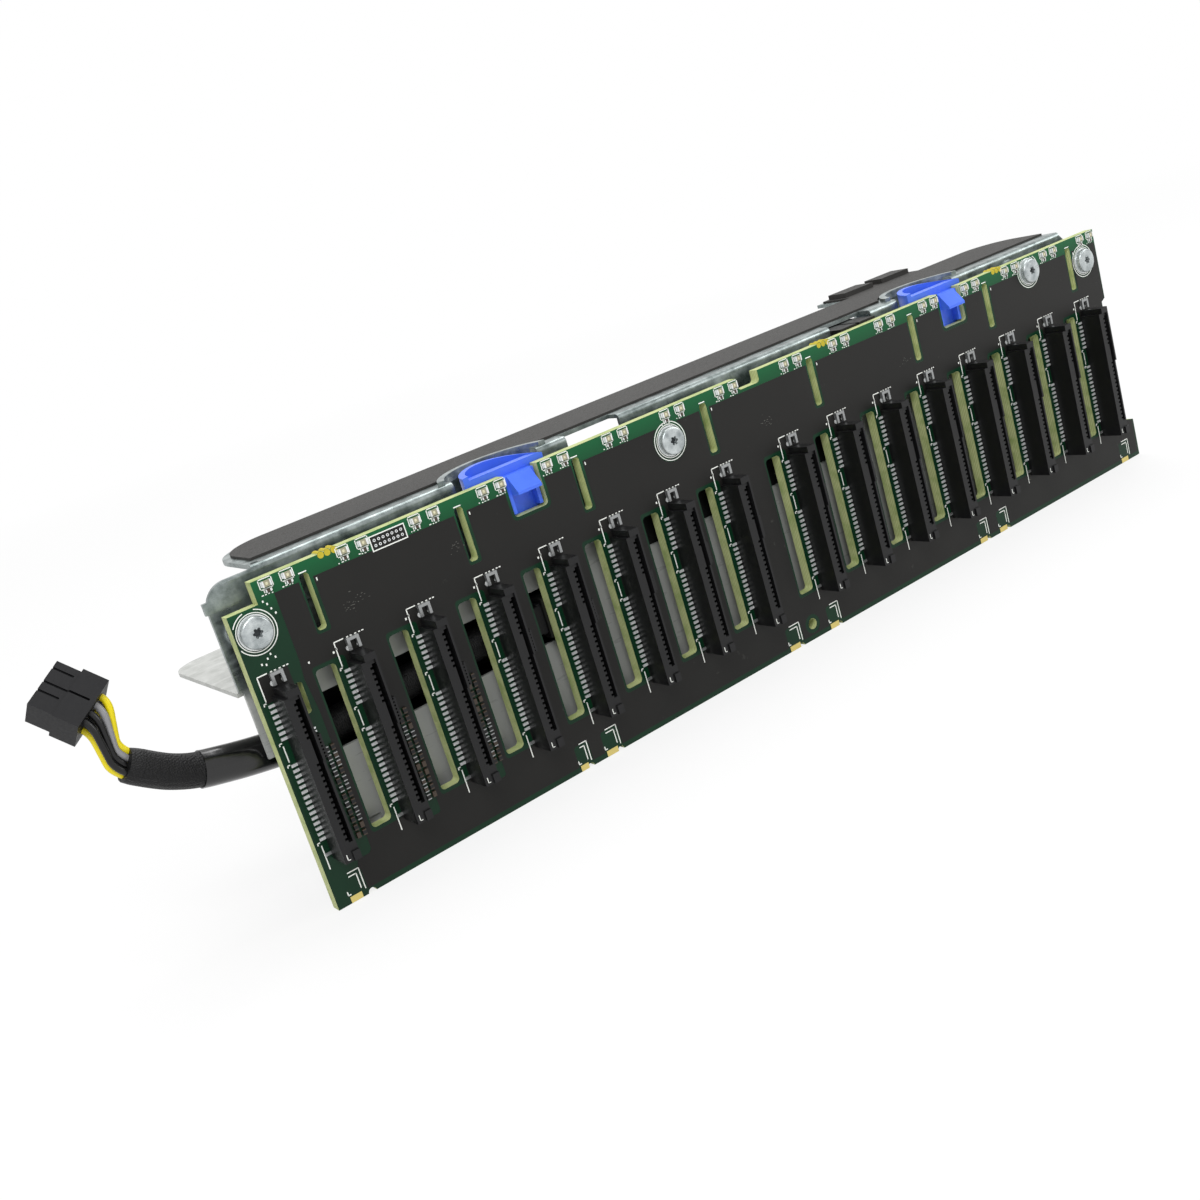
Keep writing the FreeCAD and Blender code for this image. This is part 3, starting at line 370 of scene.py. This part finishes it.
def black_mask_material():
    """Dark matte layer with faint handling marks."""
    shader = Shader("black_mask", rgb(26, 26, 24), 0.42, specular=0.2)
    cloud = shader.noise(30.0, 4.0)
    fine = shader.noise(2200.0, 3.0)
    base = shader.mix(cloud, rgb(22, 22, 21), rgb(32, 31, 29))
    scuffs = shader.ramp(shader.noise(210.0, 6.0, 0.7), 0.0, 0.5, 0.66, 0.8)
    shader.color(shader.mix(scuffs, base, rgb(84, 84, 80)))
    shader.rough(shader.ramp(cloud, 0.34, 0.5, 0.3, 0.7))
    shader.bump(fine, 0.25, 0.00002)
    return shader.material


def steel_material(name, light, dark, rough=0.34, scale=240.0, metal=0.85, painted_light_color=None):
    """Galvanised sheet: mottled spangle with fine rolling marks.

    The last argument is the colour of the sheet's lower part behind the board, which is lighter
    and less metallic there: painted light, standing in for the light the sheet catches through the
    board's openings.
    """
    shader = Shader(name, light, rough, metal=metal, specular=0.3)
    spangle = shader.cells(scale)
    cloud = shader.noise(70.0, 4.0)
    grain = shader.noise(420.0, 5.0, 0.7)
    rolling = shader.noise(900.0, 3.0, vector=shader.place((0.12, 1, 1)))
    share = shader.math("ADD", shader.math("MULTIPLY", spangle, 0.55),
                        shader.math("MULTIPLY", cloud, 0.45))
    share = shader.math("ADD", share, shader.ramp(grain, -0.3, 0.3, 0.3, 0.7), clamp=True)
    color = shader.mix(share, dark, light)
    if painted_light_color:
        # painted light: below these heights the sheet is painted lighter and made less metallic
        low = shader.ramp(shader.where(2), 1.0, 0.0, *PAINTED_LIGHT_SHEET)
        color = shader.mix(low, color, shader.mix(cloud, shaded(painted_light_color, 0.72), painted_light_color))
        shader.put(shader.main, "Metallic", shader.ramp(low, metal, 0.15))
    shader.color(color)
    shader.rough(shader.ramp(rolling, rough - 0.1, rough + 0.14, 0.3, 0.7))
    shader.bump(rolling, 0.12, 0.00003)
    return shader.material


def film_material():
    """Dark embossed plastic film."""
    shader = Shader("cover_film", rgb(50, 49, 48), 0.62, specular=0.18)
    pebble = shader.cells(2600.0)
    cloud = shader.noise(24.0, 3.0)
    shader.color(shader.mix(cloud, rgb(44, 43, 42), rgb(58, 57, 55)))
    shader.bump(pebble, 0.5, 0.00006)
    shader.rough(shader.ramp(pebble, 0.5, 0.72))
    return shader.material


def blue_material():
    """Moulded blue plastic, satin, slightly translucent look at its edges."""
    shader = Shader("latch_blue", rgb(62, 104, 226), 0.38, coat=0.06, specular=0.35)
    shader.main.inputs["Subsurface Weight"].default_value = 0.08
    shader.main.inputs["Subsurface Radius"].default_value = (0.0004, 0.0006, 0.0015)
    cloud = shader.noise(90.0, 3.0)
    fine = shader.noise(2600.0, 3.0)
    shader.color(shader.mix(cloud, rgb(52, 92, 214), rgb(78, 122, 240)))
    shader.rough(shader.ramp(fine, 0.3, 0.46, 0.3, 0.7))
    shader.bump(fine, 0.2, 0.00003)
    return shader.material


def braid_material():
    """Expandable black sleeve: crossed bundles of filament."""
    shader = Shader("sleeve_braid", rgb(18, 18, 19), 0.5, specular=0.25)
    strands = shader.cells(2100.0, randomness=0.5)
    shade = shader.mix(shader.ramp(strands, 0.0, 1.0, 0.1, 0.6), rgb(27, 27, 28), rgb(8, 8, 9))
    shader.color(shader.mix(shader.ramp(shader.noise(90.0, 3.0), 0.0, 0.5, 0.4, 0.7), shade,
                            rgb(24, 24, 25)))
    shader.bump(shader.math("SUBTRACT", 1.0, strands), 0.6, 0.0003)
    return shader.material


def wire_material(name, color):
    """Extruded insulation with faint lengthwise streaks."""
    return plain(name, color, 0.34, grain=700.0, spread=0.14, coat=0.1, specular=0.35,
                 depth=0.00003)


MAT = {
    "board": board_material(),
    "mask": black_mask_material(),
    "ink": plain("white_ink", rgb(232, 234, 228), 0.6, spread=0.06, grain=2400.0),
    "housing": plain("connector_plastic", rgb(19, 19, 20), 0.36, grain=1800.0, spread=0.25,
                     bumpy=0.25, specular=0.3),
    "solder": plain("solder", rgb(226, 228, 228), 0.3, metal=0.45, grain=1200.0,
                    bumpy=0.5),
    "clip": plain("clip_metal", rgb(150, 152, 152), 0.3, metal=0.7, grain=1200.0,
                  bumpy=0.5, spread=0.3),
    "lamp": plain("lamp_body", rgb(150, 146, 122), 0.35, grain=1500.0, coat=0.2),
    "lens": plain("lamp_lens", rgb(208, 204, 170), 0.2, grain=1500.0, coat=0.3),
    "chip": plain("chip_body", rgb(58, 45, 32), 0.45, grain=1800.0, spread=0.4),
    "resistor": plain("resistor_body", rgb(24, 24, 25), 0.4, grain=1800.0,
                      specular=0.3),
    "steel": steel_material("galvanised_steel", rgb(166, 175, 174), rgb(74, 84, 83),
                            painted_light_color=rgb(182, 184, 181)),
    "shelf": steel_material("bright_steel", rgb(200, 201, 198), rgb(164, 166, 162), 0.5,
                            metal=0.35),
    "film": film_material(),
    "strip": plain("strip_film", rgb(14, 14, 14), 0.5, grain=1500.0, specular=0.25),
    "screw": steel_material("screw_steel", rgb(206, 212, 212), rgb(128, 136, 138), 0.3, 500.0,
                            metal=0.6),
    "recess": plain("recess_shadow", rgb(52, 56, 60), 0.5, metal=0.4, grain=1500.0),
    "blue": blue_material(),
    "pin": steel_material("pin_steel", rgb(190, 192, 194), rgb(150, 152, 156), 0.25),
    "plug": plain("plug_nylon", rgb(20, 20, 22), 0.46, grain=1500.0, spread=0.15,
                  specular=0.22),
    "braid": braid_material(),
    "shrink": plain("shrink_tube", rgb(10, 10, 11), 0.16, grain=500.0, spread=0.2, coat=0.4,
                    bumpy=0.3, depth=0.00008, specular=0.4),
    "wire_black": wire_material("wire_black", rgb(10, 10, 11)),
    "wire_grey": wire_material("wire_grey", rgb(138, 138, 140)),
    "wire_yellow": wire_material("wire_yellow", rgb(226, 208, 14)),
    "gold": plain("bare_copper_pad", rgb(214, 196, 120), 0.35, metal=0.8),
    "raw": plain("snapped_laminate", rgb(186, 170, 52), 0.8, grain=1200.0, spread=0.3,
                 bumpy=0.8, depth=0.0002, specular=0.2),
    "scuff": plain("scuffed_mask", rgb(92, 92, 88), 0.7, grain=1500.0, spread=0.3,
                   specular=0.1),
}

dress(MAT["board"], "backplane_board")
dress(MAT["housing"], *CONNECTORS)
dress(MAT["solder"], "contact_tails")
dress(MAT["clip"], "connector_hold_downs")
dress(MAT["lamp"], "status_lamps")
dress(MAT["chip"], "lamp_resistors", "chip_components")
dress(MAT["steel"], "mounting_bracket")
dress(MAT["shelf"], "cable_shelf")
dress(MAT["film"], "top_cover", "cover_pads")
dress(MAT["strip"], "insulating_strip", "control_chip", "power_header", "harness_duct",
      "data_connector_a", "data_connector_b")
dress(MAT["screw"], "mounting_screws", "standoffs")
dress(MAT["blue"], "left_latch", "right_latch")
dress(MAT["pin"], "left_latch_pin", "right_latch_pin")
dress(MAT["plug"], "mated_plug", "loose_plug")
dress(MAT["shrink"], "shrink_sleeve")

# ---------------------------------------------------------------- the power harness
HARNESS_DIAMETER = 7.8
HARNESS_ROUTE = [            # repeats the route in part.py
    (-88.1, 8.0, 38.0), (-103.0, 8.0, 38.0), (-120.0, 9.4, 35.9), (-137.5, 11.2, 34.3),
    (-153.0, 11.8, 36.5), (-162.8, 11.6, 38.7), (-167.0, 11.3, 40.33), (-170.91, 10.95, 42.55),
    (-174.54, 10.55, 45.38),
]
SLEEVE_END = Vector(HARNESS_ROUTE[-1])
SLEEVE_AHEAD = Vector((-0.786, -0.087, 0.613))
SLEEVE_SIDE = Vector((-0.508, -0.474, -0.719))      # along the wires' rows
SLEEVE_UP = Vector((0.353, -0.876, 0.328))          # from the far row to the near one
SLEEVE_PITCH, SLEEVE_ROWS = 1.5, 1.7                # between wires and between rows there
PLUG_MOUTH = Vector((-178.57, 11.75, 59.52))
PLUG_AHEAD = Vector((-0.589, 0.447, 0.673))
PLUG_SIDE = Vector((-0.796, -0.466, -0.388))
PLUG_UP = Vector((0.140, -0.764, 0.630))
PLUG_PITCH, PLUG_ROWS = 2.3, 3.0
CUFF = (     # way ahead of the sleeve's end, sag, share of the sleeve's radius
    (-2.0, 0.0, 0.99), (0.0, 0.0, 1.0), (1.6, -0.1, 0.98), (2.9, -0.15, 0.93),
)
WIRES = (    # way, row, colour
    (-1.5, 0.5, "yellow"), (-0.5, 0.5, "grey"), (0.5, 0.5, "black"), (1.5, 0.5, "black"),
    (-1.5, -0.5, "black"), (-0.5, -0.5, "yellow"), (0.5, -0.5, "black"), (1.5, -0.5, "yellow"),
)
WIRE_RADIUS = 0.8
WIRE_IN_SLEEVE = 1.0         # how far a wire starts inside the sleeve
WIRE_RUN_OUT = 5.0           # straight run out of the sleeve
WIRE_RUN_IN = 1.6            # straight run into the plug
WIRE_IN_PLUG = 0.5


def make_cuff():
    """Soft end of the braid, drawn a little way along the wires."""
    places = [SLEEVE_END + SLEEVE_AHEAD * ahead + SLEEVE_UP * sag for ahead, sag, _ in CUFF]
    return cord_piece("sleeve_cuff", places, HARNESS_DIAMETER / 2, MAT["braid"],
                      [share for _, _, share in CUFF])


def make_wires():
    """The eight wires between the sleeve and the loose plug, in their own colours."""
    wires = []
    for number, (way, row, color) in enumerate(WIRES, 1):
        start = SLEEVE_END + SLEEVE_SIDE * (way * SLEEVE_PITCH) + SLEEVE_UP * (row * SLEEVE_ROWS)
        entry = PLUG_MOUTH + PLUG_SIDE * (way * PLUG_PITCH) + PLUG_UP * (row * PLUG_ROWS)
        bend_out = start + SLEEVE_AHEAD * WIRE_RUN_OUT
        bend_in = entry - PLUG_AHEAD * WIRE_RUN_IN
        route = [start - SLEEVE_AHEAD * WIRE_IN_SLEEVE, bend_out, (bend_out + bend_in) / 2,
                 bend_in, entry + PLUG_AHEAD * WIRE_IN_PLUG]
        wire = cord_piece(f"wire_{number}", route, WIRE_RADIUS, MAT["wire_" + color])
        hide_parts("harness_wires")
        wires.append(wire)
    return wires


def make_harness():
    sleeve = cord_piece("harness_line", HARNESS_ROUTE, HARNESS_DIAMETER / 2, MAT["braid"])
    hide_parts("harness_sleeve")
    make_cuff()
    make_wires()


make_harness()


# ---------------------------------------------------------------- layout of the board
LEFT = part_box("backplane_board")[0].x * 1000
TOP = 74.3
TAILS = [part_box(name)[0].x * 1000 - 0.5 for name in CONNECTORS]     # where the tails begin
BANK = 8                     # connectors on each side of the board's middle
DRESSED = 3                  # connectors with small parts beside them
SCREWS = [(LEFT + offset, height) for offset, height in
          ((4.6, 64.3), (119.6, 66.3), (263.3, 70.1), (289.3, 66.3))]
RIB_SLOTS = [LEFT + offset for offset in (18.6, 57.9, 91.3, 132.1, 170.2, 210.5, 243.1, 282.8)]
LATCHES = [LEFT + 76.2, LEFT + 228.0]
STUBS = [LEFT + offset for offset in (25.3, 176.6, 249.6)]
EDGE_ZONES = [(LEFT + start, LEFT + end) for start, end in
              ((2.9, 7.8), (67.3, 71.6), (75.4, 80.8), (138.9, 144.6), (154.4, 159.6),
               (218.5, 223.6), (227.6, 232.9), (289.6, 295.0))]
ZONE_TOP = 6.6               # top of the bare green patches at the lower edge

LAMP_LEVEL = TOP - 1.3
RESISTOR_LEVEL = TOP - 2.9
LAMP_STEP = 4.9              # between the two lamps of a pair
LAMP_SHIFTS = (7.9, 7.1)     # from the tails to a pair's first lamp, in each bank
LAMPS = [tails + LAMP_SHIFTS[index // BANK] + step
         for index, tails in enumerate(TAILS) for step in (0, LAMP_STEP)]

MASK_TOP = 70.4
MASK_BOTTOM = 1.3
MASK_LEFT = LEFT + 11.3
MASK_RIGHT_SIDE = [(LEFT + x, z) for x, z in
                   ((296.1, MASK_TOP), (296.1, 52.6), (294.4, 51.6), (294.4, 13.2),
                    (298.7, 11.6), (298.7, MASK_BOTTOM))]
MASK_LEFT_SIDE = [(LEFT + x, z) for x, z in
                  ((7.8, 8.4), (11.0, 8.6), (11.6, 9.3), (11.6, 43.0), (10.9, 50.7),
                   (11.3, 55.0))]
ZONE_CHAMFER = 0.5
SCREW_CLEARANCE = 5.2
RIB_MARGINS, RIB_FLOOR = (1.5, 1.9), 58.3           # green edge round a rib slot
LATCH_MARGIN, LATCH_FLOOR, LATCH_RADIUS = 5.6, 63.4, 1.4
TOOLING_HOLE = (LEFT + 148.8, 4.3)
TOOLING_MARGIN = 2.6


def dip(centre, height, radius, level):
    """Points of a circle's lower part, from where it crosses a level to where it crosses back."""
    steps = 24
    half = math.asin(max(-1.0, min(1.0, (level - height) / radius)))
    start, end = math.pi - half, 2 * math.pi + half
    return [around(centre, height, radius, start + (end - start) * step / steps)
            for step in range(steps + 1)]


def pocket(x0, x1, level, floor, radius=0.6):
    """Rounded notch going down from a level to a floor."""
    arcs = [around(x, floor + radius, radius, math.radians(start + 90 * step / 4))
            for x, start in ((x0 + radius, 180), (x1 - radius, 270)) for step in range(5)]
    return [(x0, level)] + arcs + [(x1, level)]


def mask_outline():
    """Edge of the dark layer, clockwise from its upper left corner."""
    features = [(x, pocket(x - RIB_MARGINS[0], x + RIB_MARGINS[1], MASK_TOP, RIB_FLOOR))
                for x in RIB_SLOTS]
    features += [(x, pocket(x - LATCH_MARGIN, x + LATCH_MARGIN, MASK_TOP, LATCH_FLOOR,
                            LATCH_RADIUS)) for x in LATCHES]
    features += [(x, dip(x, z, SCREW_CLEARANCE, MASK_TOP)) for x, z in SCREWS[1:]]
    outline = [(MASK_LEFT, MASK_TOP)]
    for _, points in sorted(features, key=lambda feature: feature[0]):
        outline += points
    outline += MASK_RIGHT_SIDE
    for start, end in reversed(EDGE_ZONES):
        outline += [(end, MASK_BOTTOM), (end, ZONE_TOP - ZONE_CHAMFER),
                    (end - ZONE_CHAMFER, ZONE_TOP), (start + ZONE_CHAMFER, ZONE_TOP),
                    (start, ZONE_TOP - ZONE_CHAMFER), (start, MASK_BOTTOM)]
    del outline[-3:]         # the first zone runs on into the green left edge
    return outline + MASK_LEFT_SIDE


def make_mask():
    """The dark layer, open round each connector's window, its small parts and the tooling hole."""
    loops = [mask_outline()]
    loops += [rounded(tails - 7.6, tails + 0.35, 12.3, 52.2, 0.9) for tails in TAILS[1:]]
    loops += [rounded(tails + 6.75, tails + 9.25, 8.9, 35.4, 0.6)
              for tails in TAILS[1:DRESSED]]
    loops.append(circle(*TOOLING_HOLE, TOOLING_MARGIN, 32))
    printed("dark_mask", loops, MAT["mask"])


make_mask()


# ---------------------------------------------------------------- white print
SILK_LINE = 0.26             # width of the printed lines
LAMP_LINE = 0.22             # width of the frames round the lamps
CLIP_FRAME_TOP = 55.3


def silk_lines():
    """Every straight printed line as a rectangle (x0, x1, z0, z1)."""
    items = []

    def level_line(x0, x1, z):
        items.append((x0, x1, z - SILK_LINE / 2, z + SILK_LINE / 2))

    def upright_line(x, z0, z1):
        items.append((x - SILK_LINE / 2, x + SILK_LINE / 2, z0, z1))

    for tails in TAILS:
        side = tails - 0.5
        upright_line(side - 0.45, 49.7, CLIP_FRAME_TOP)
        level_line(side - 0.45, side + 1.9, CLIP_FRAME_TOP)
        for start in (2.6, 3.5, 4.6, 5.6, 6.4):
            level_line(side + start, side + start + 0.5, CLIP_FRAME_TOP)
        upright_line(side - 0.45, 35.6, 39.4)
        upright_line(side - 0.45, 9.6, 15.4)
        for z in (49.4, 40.1, 35.0, 16.2):          # ticks beside the tails
            level_line(side - 1.1, side - 0.5, z)
            upright_line(side - 1.1, z - 0.5, z)
    for x in RIB_SLOTS:
        level_line(x - 1.0, x + 0.9, 72.1)
        upright_line(x + 2.5, 69.2, 69.9)
    for start, end in EDGE_ZONES:                   # two corners, one inside the other
        level_line(start + 1.6, end - 0.5, ZONE_TOP + 0.2)
        upright_line(end - 0.5, 1.6, ZONE_TOP + 0.2)
        level_line(start + 1.6, end - 1.4, ZONE_TOP - 0.7)
        upright_line(end - 1.4, 2.2, ZONE_TOP - 0.7)
        level_line(start + 0.2, start + 0.9, 2.0)
        upright_line(start + 0.2, 2.0, 2.9)
    return items


def lamp_print(x):
    """Frame round a lamp, and below it a row of short dashes and two ticks."""
    low, high = LAMP_LEVEL - 1.1, LAMP_LEVEL + 1.1
    half = LAMP_LINE / 2
    items = [(x - 1.35, x + 1.35, z - half, z + half) for z in (low, high)]
    items += [(side - half, side + half, low + 0.15, high - 0.15)
              for side in (x - 1.5, x + 1.5)]
    for step in range(4):
        start = x - 1.7 + step * 0.75 + random.uniform(-0.1, 0.1)
        drop = random.uniform(0.0, 0.25)
        items.append((start, start + random.uniform(0.25, 0.5), 70.5 + drop, 70.72 + drop))
    return items + [(x - 0.95, x - 0.75, 71.1, 71.75), (x + 0.75, x + 0.95, 71.1, 71.75)]


def make_silk():
    """All the board's white print as one thin piece."""
    items = silk_lines()
    for x in LAMPS:
        items += lamp_print(x)
    for x, z in ((8.2, 69.4), (8.9, 68.6), (9.4, 67.4), (10.0, 66.2), (5.8, 58.6), (4.9, 57.9),
                 (6.6, 57.6), (3.3, 57.2), (4.2, 56.8), (12.9, 53.4)):
        items.append((LEFT + x, LEFT + x + 0.35, z, z + 0.45))
    for tails in TAILS[1:]:
        for step in range(2):
            items.append((tails - 1.9 + step * 0.8, tails - 1.5 + step * 0.8,
                          53.1 + step * 0.5, 53.6 + step * 0.5))
    boxes("white_print", [(x0, x1, BOARD_FRONT - SILK, BOARD_FRONT, z0, z1)
                          for x0, x1, z0, z1 in items], MAT["ink"])


make_silk()


# ---- printed rings and bare metal round the screws
NOTCH_RIGHT, NOTCH_DEPTH = 7.5, 5.2                 # notch at the board's upper left corner
RING_LINES = ((4.7, 4.92), (4.05, 4.25))
BARE_RING = (2.6, 3.85)
RECESS_FLOOR = BOARD_FRONT - 0.6


def on_board(x, z):
    """True inside the board's outline, a little in from its edges."""
    if not (LEFT + 0.3 < x < LEFT + 296.0 and z < TOP - 0.3):
        return False
    return x > LEFT + NOTCH_RIGHT or z < TOP - NOTCH_DEPTH


def ring_arcs(x, z, inner, outer):
    """The parts of a printed ring that lie on the board, as closed loops."""
    count = 120
    turns = [2 * math.pi * step / count for step in range(count + 1)]
    arcs, run = [], []
    for turn in turns:
        if on_board(*around(x, z, outer, turn)):
            run.append(turn)
        elif run:
            arcs.append(run)
            run = []
    if run and arcs and turns[0] in arcs[0]:
        arcs[0] = run[:-1] + arcs[0]
    elif len(run) == count + 1:
        return [circle(x, z, outer, count), circle(x, z, inner, count)]
    elif run:
        arcs.append(run)
    return [[around(x, z, outer, turn) for turn in arc]
            + [around(x, z, inner, turn) for turn in reversed(arc)]
            for arc in arcs if len(arc) > 2]


def recess_star(x, z):
    """Outline of a screw's six-lobed recess."""
    count = 72
    turns = [2 * math.pi * step / count for step in range(count)]
    return [around(x, z, 0.8 + 0.32 * abs(math.cos(3 * turn)) ** 1.5, turn) for turn in turns]


printed("screw_rings", [loop for x, z in SCREWS for line in RING_LINES
                        for loop in ring_arcs(x, z, *line)],
        MAT["ink"], front=BOARD_FRONT - SILK)
printed("screw_pads", [loop for x, z in SCREWS for loop in ring_arcs(x, z, *BARE_RING)],
        MAT["solder"])
printed("recess_floors", [recess_star(x, z) for x, z in SCREWS], MAT["recess"],
        front=RECESS_FLOOR - INK, back=RECESS_FLOOR)


# ---------------------------------------------------------------- small details on the board
def make_pad_header():
    """Unpopulated header: a printed frame round two rows of tinned holes."""
    x0, x1, z0, z1 = LEFT + 35.2, LEFT + 44.2, 70.0, 73.5
    line = 0.25
    inside = rectangle(x0 + line, x1 - line, z0 + line, z1 - line)
    printed("header_frame", [rectangle(x0, x1, z0, z1), inside], MAT["ink"],
            front=BOARD_FRONT - SILK)
    printed("header_ground", [inside], MAT["mask"], front=BOARD_FRONT - GROUND)
    loops = []
    for column in range(7):
        for row in range(2):
            x = x0 + 1.1 + column * 1.13
            z = z0 + 1.15 + row * 1.2
            loops += [circle(x, z, 0.34, 16), circle(x, z, 0.17, 16)]
    printed("header_pads", loops, MAT["solder"], front=BOARD_FRONT - INK * 2)


def make_lamp_parts():
    """Tinned ends of the lamps and of the small parts below them, and the lamps' lenses."""
    ends, lenses = [], []
    for x in LAMPS:
        for side in (-1, 1):
            ends.append(front_block(x + side * 0.86, LAMP_LEVEL, 0.34, 1.36, 0.84))
            ends.append(front_block(x + side * 1.13, LAMP_LEVEL, 0.26, 1.2, 0.2))
            ends.append(front_block(x + side * 0.5, RESISTOR_LEVEL, 0.24, 0.64, 0.48))
        lenses.append(front_block(x - 0.05, LAMP_LEVEL, 0.62, 0.7, 0.9))
    boxes("lamp_ends", ends, MAT["solder"])
    boxes("lamp_lenses", lenses, MAT["lens"], bevel=0.12)


def make_chip_parts():
    """Bright ends on half of the small parts beside the first connectors; most bodies dark."""
    ends, dark = [], []
    for tails in TAILS[:DRESSED]:
        for column in range(2):
            x = tails + 7.5 + column * 1.5
            for row in range(12):
                z = 34.58 - row * 1.9
                if random.random() < 0.5:
                    ends += [front_block(x, z + side * 0.54, 0.94, 0.24, 0.74)
                             for side in (-1, 1)]
                if random.random() < 0.75:
                    dark.append(front_block(x, z, 0.92, 0.72, 0.73))
    boxes("chip_ends", ends, MAT["clip"])
    boxes("dark_chips", dark, MAT["resistor"])


def make_joints():
    """Solder under each connector's hold-down clip, and the dark ground of the first one."""
    joints = []
    for tails in TAILS:
        for x, radius in ((tails + 1.8, 0.62), (tails + 4.25, 0.45)):
            joints += [circle(x, 52.9, radius, 18), circle(x + 0.1, 54.7, 0.3, 14)]
    printed("hold_down_joints", joints, MAT["solder"], front=BOARD_FRONT - 0.22)
    printed("first_ground", [rectangle(TAILS[0] - 0.8, TAILS[0] + 6.1, 49.2, 55.1)],
            MAT["mask"])


def make_housing_marks():
    """Small corner mark low on each connector's front face."""
    face = BOARD_FRONT - 6.9
    corner = ((1.2, 1.38, 12.2, 13.6), (1.2, 1.9, 12.2, 12.36))
    boxes("housing_marks", [(tails + x0, tails + x1, face - INK, face, z0, z1)
                            for tails in TAILS for x0, x1, z0, z1 in corner],
          MAT["ink"])


def scuff(x, z, reach, count):
    """Loose cluster of short pale scratches."""
    marks = []
    for _ in range(count):
        left = x + random.gauss(0, reach)
        level = z + random.gauss(0, reach * 0.6)
        marks.append(front_block(left, level, random.uniform(0.1, 0.5),
                                 random.uniform(0.06, 0.16), INK * 1.2))
    return marks


make_pad_header()
boxes("edge_contacts", [(start + 0.4, end - 1.6, BOARD_FRONT - INK * 1.4, BOARD_FRONT, 0.02, 1.5)
                        for start, end in EDGE_ZONES], MAT["gold"])
make_lamp_parts()
make_chip_parts()
printed("snapped_stubs", [circle(x + step * 1.6, TOP - 0.35, 0.74, 20)
                          for x in STUBS for step in (-1, 0, 1)], MAT["raw"])
make_joints()
make_housing_marks()
boxes("scuffs", scuff(LEFT + 27.0, 61.5, 1.6, 26) + scuff(LEFT + 54.5, 64.0, 1.0, 16)
      + scuff(LEFT + 151.0, 61.0, 1.2, 16) + scuff(LEFT + 205.0, 60.0, 1.0, 10),
      MAT["scuff"])


# ---------------------------------------------------------------- stage and lights
WHITE = (1.0, 1.0, 1.0, 1.0)
FLOOR_HALF = 6.0
FLOOR_DROP = 0.0002          # keeps the floor just clear of the board's lower edge
LIGHTS = (                   # name, place, target, size, power
    ("key_light", (-0.55, -0.75, 0.95), (0, 0, 0.04), 0.7, 9.0),
    ("top_light", (0.25, 0.35, 1.1), (0, 0, 0.05), 0.9, 8.0),
    ("side_light", (0.9, -0.6, 0.5), (0, 0, 0.04), 0.6, 4.0),
)


def background_rays(tree):
    """1 for the rays that see the background: from the camera, off gloss and through glass."""
    rays = tree.nodes.new("ShaderNodeLightPath")
    seen = rays.outputs["Is Camera Ray"]
    for kind in ("Is Glossy Ray", "Is Transmission Ray"):
        either = tree.nodes.new("ShaderNodeMath")
        either.operation = "MAXIMUM"
        tree.links.new(seen, either.inputs[0])
        tree.links.new(rays.outputs[kind], either.inputs[1])
        seen = either.outputs[0]
    return seen


def pale_floor():
    """Diffuse floor that keeps the shadow near the object and fades to white away from it."""
    material = bpy.data.materials.new("studio_floor")
    material.use_nodes = True
    tree = material.node_tree
    tree.nodes.clear()
    out = tree.nodes.new("ShaderNodeOutputMaterial")
    diffuse = tree.nodes.new("ShaderNodeBsdfDiffuse")
    diffuse.inputs["Color"].default_value = rgb(236, 236, 236)
    glow = tree.nodes.new("ShaderNodeEmission")
    glow.inputs["Color"].default_value = WHITE
    where = tree.nodes.new("ShaderNodeNewGeometry")
    far = tree.nodes.new("ShaderNodeVectorMath")
    far.operation = "LENGTH"
    fade = tree.nodes.new("ShaderNodeMapRange")
    for key, number in (("From Min", 0.3), ("From Max", 1.1), ("To Min", 0.8), ("To Max", 1.0)):
        fade.inputs[key].default_value = number
    share = tree.nodes.new("ShaderNodeMath")
    share.operation = "MULTIPLY"
    mix = tree.nodes.new("ShaderNodeMixShader")
    for source, target in ((where.outputs["Position"], far.inputs[0]),
                           (far.outputs["Value"], fade.inputs["Value"]),
                           (background_rays(tree), share.inputs[0]),
                           (fade.outputs["Result"], share.inputs[1]),
                           (share.outputs[0], mix.inputs[0]),
                           (diffuse.outputs[0], mix.inputs[1]),
                           (glow.outputs[0], mix.inputs[2]),
                           (mix.outputs[0], out.inputs[0])):
        tree.links.new(source, target)
    return material


def make_floor():
    half = FLOOR_HALF
    mesh = bpy.data.meshes.new("floor")
    mesh.from_pydata([(-half, -half, 0), (half, -half, 0), (half, half, 0), (-half, half, 0)],
                     [], [(0, 1, 2, 3)])
    mesh.materials.append(pale_floor())
    floor = bpy.data.objects.new("floor", mesh)
    floor.location.z = -FLOOR_DROP
    scene.collection.objects.link(floor)


def make_world():
    """White where the background is seen, and a dimmer even light on the object."""
    scene.world = bpy.data.worlds.new("studio")
    scene.world.use_nodes = True
    tree = scene.world.node_tree
    background = tree.nodes["Background"]
    background.inputs["Color"].default_value = WHITE
    strength = tree.nodes.new("ShaderNodeMapRange")
    strength.inputs["To Min"].default_value = 0.45
    strength.inputs["To Max"].default_value = 1.0
    tree.links.new(background_rays(tree), strength.inputs["Value"])
    tree.links.new(strength.outputs["Result"], background.inputs["Strength"])


def area_light(name, place, target, size, power):
    data = bpy.data.lights.new(name, "AREA")
    data.shape = "DISK"
    data.size = size
    data.energy = power
    light = bpy.data.objects.new(name, data)
    light.location = place
    direction = Vector(target) - Vector(place)
    light.rotation_euler = direction.to_track_quat("-Z", "Y").to_euler()
    scene.collection.objects.link(light)


make_floor()
make_world()
for light in LIGHTS:
    area_light(*light)
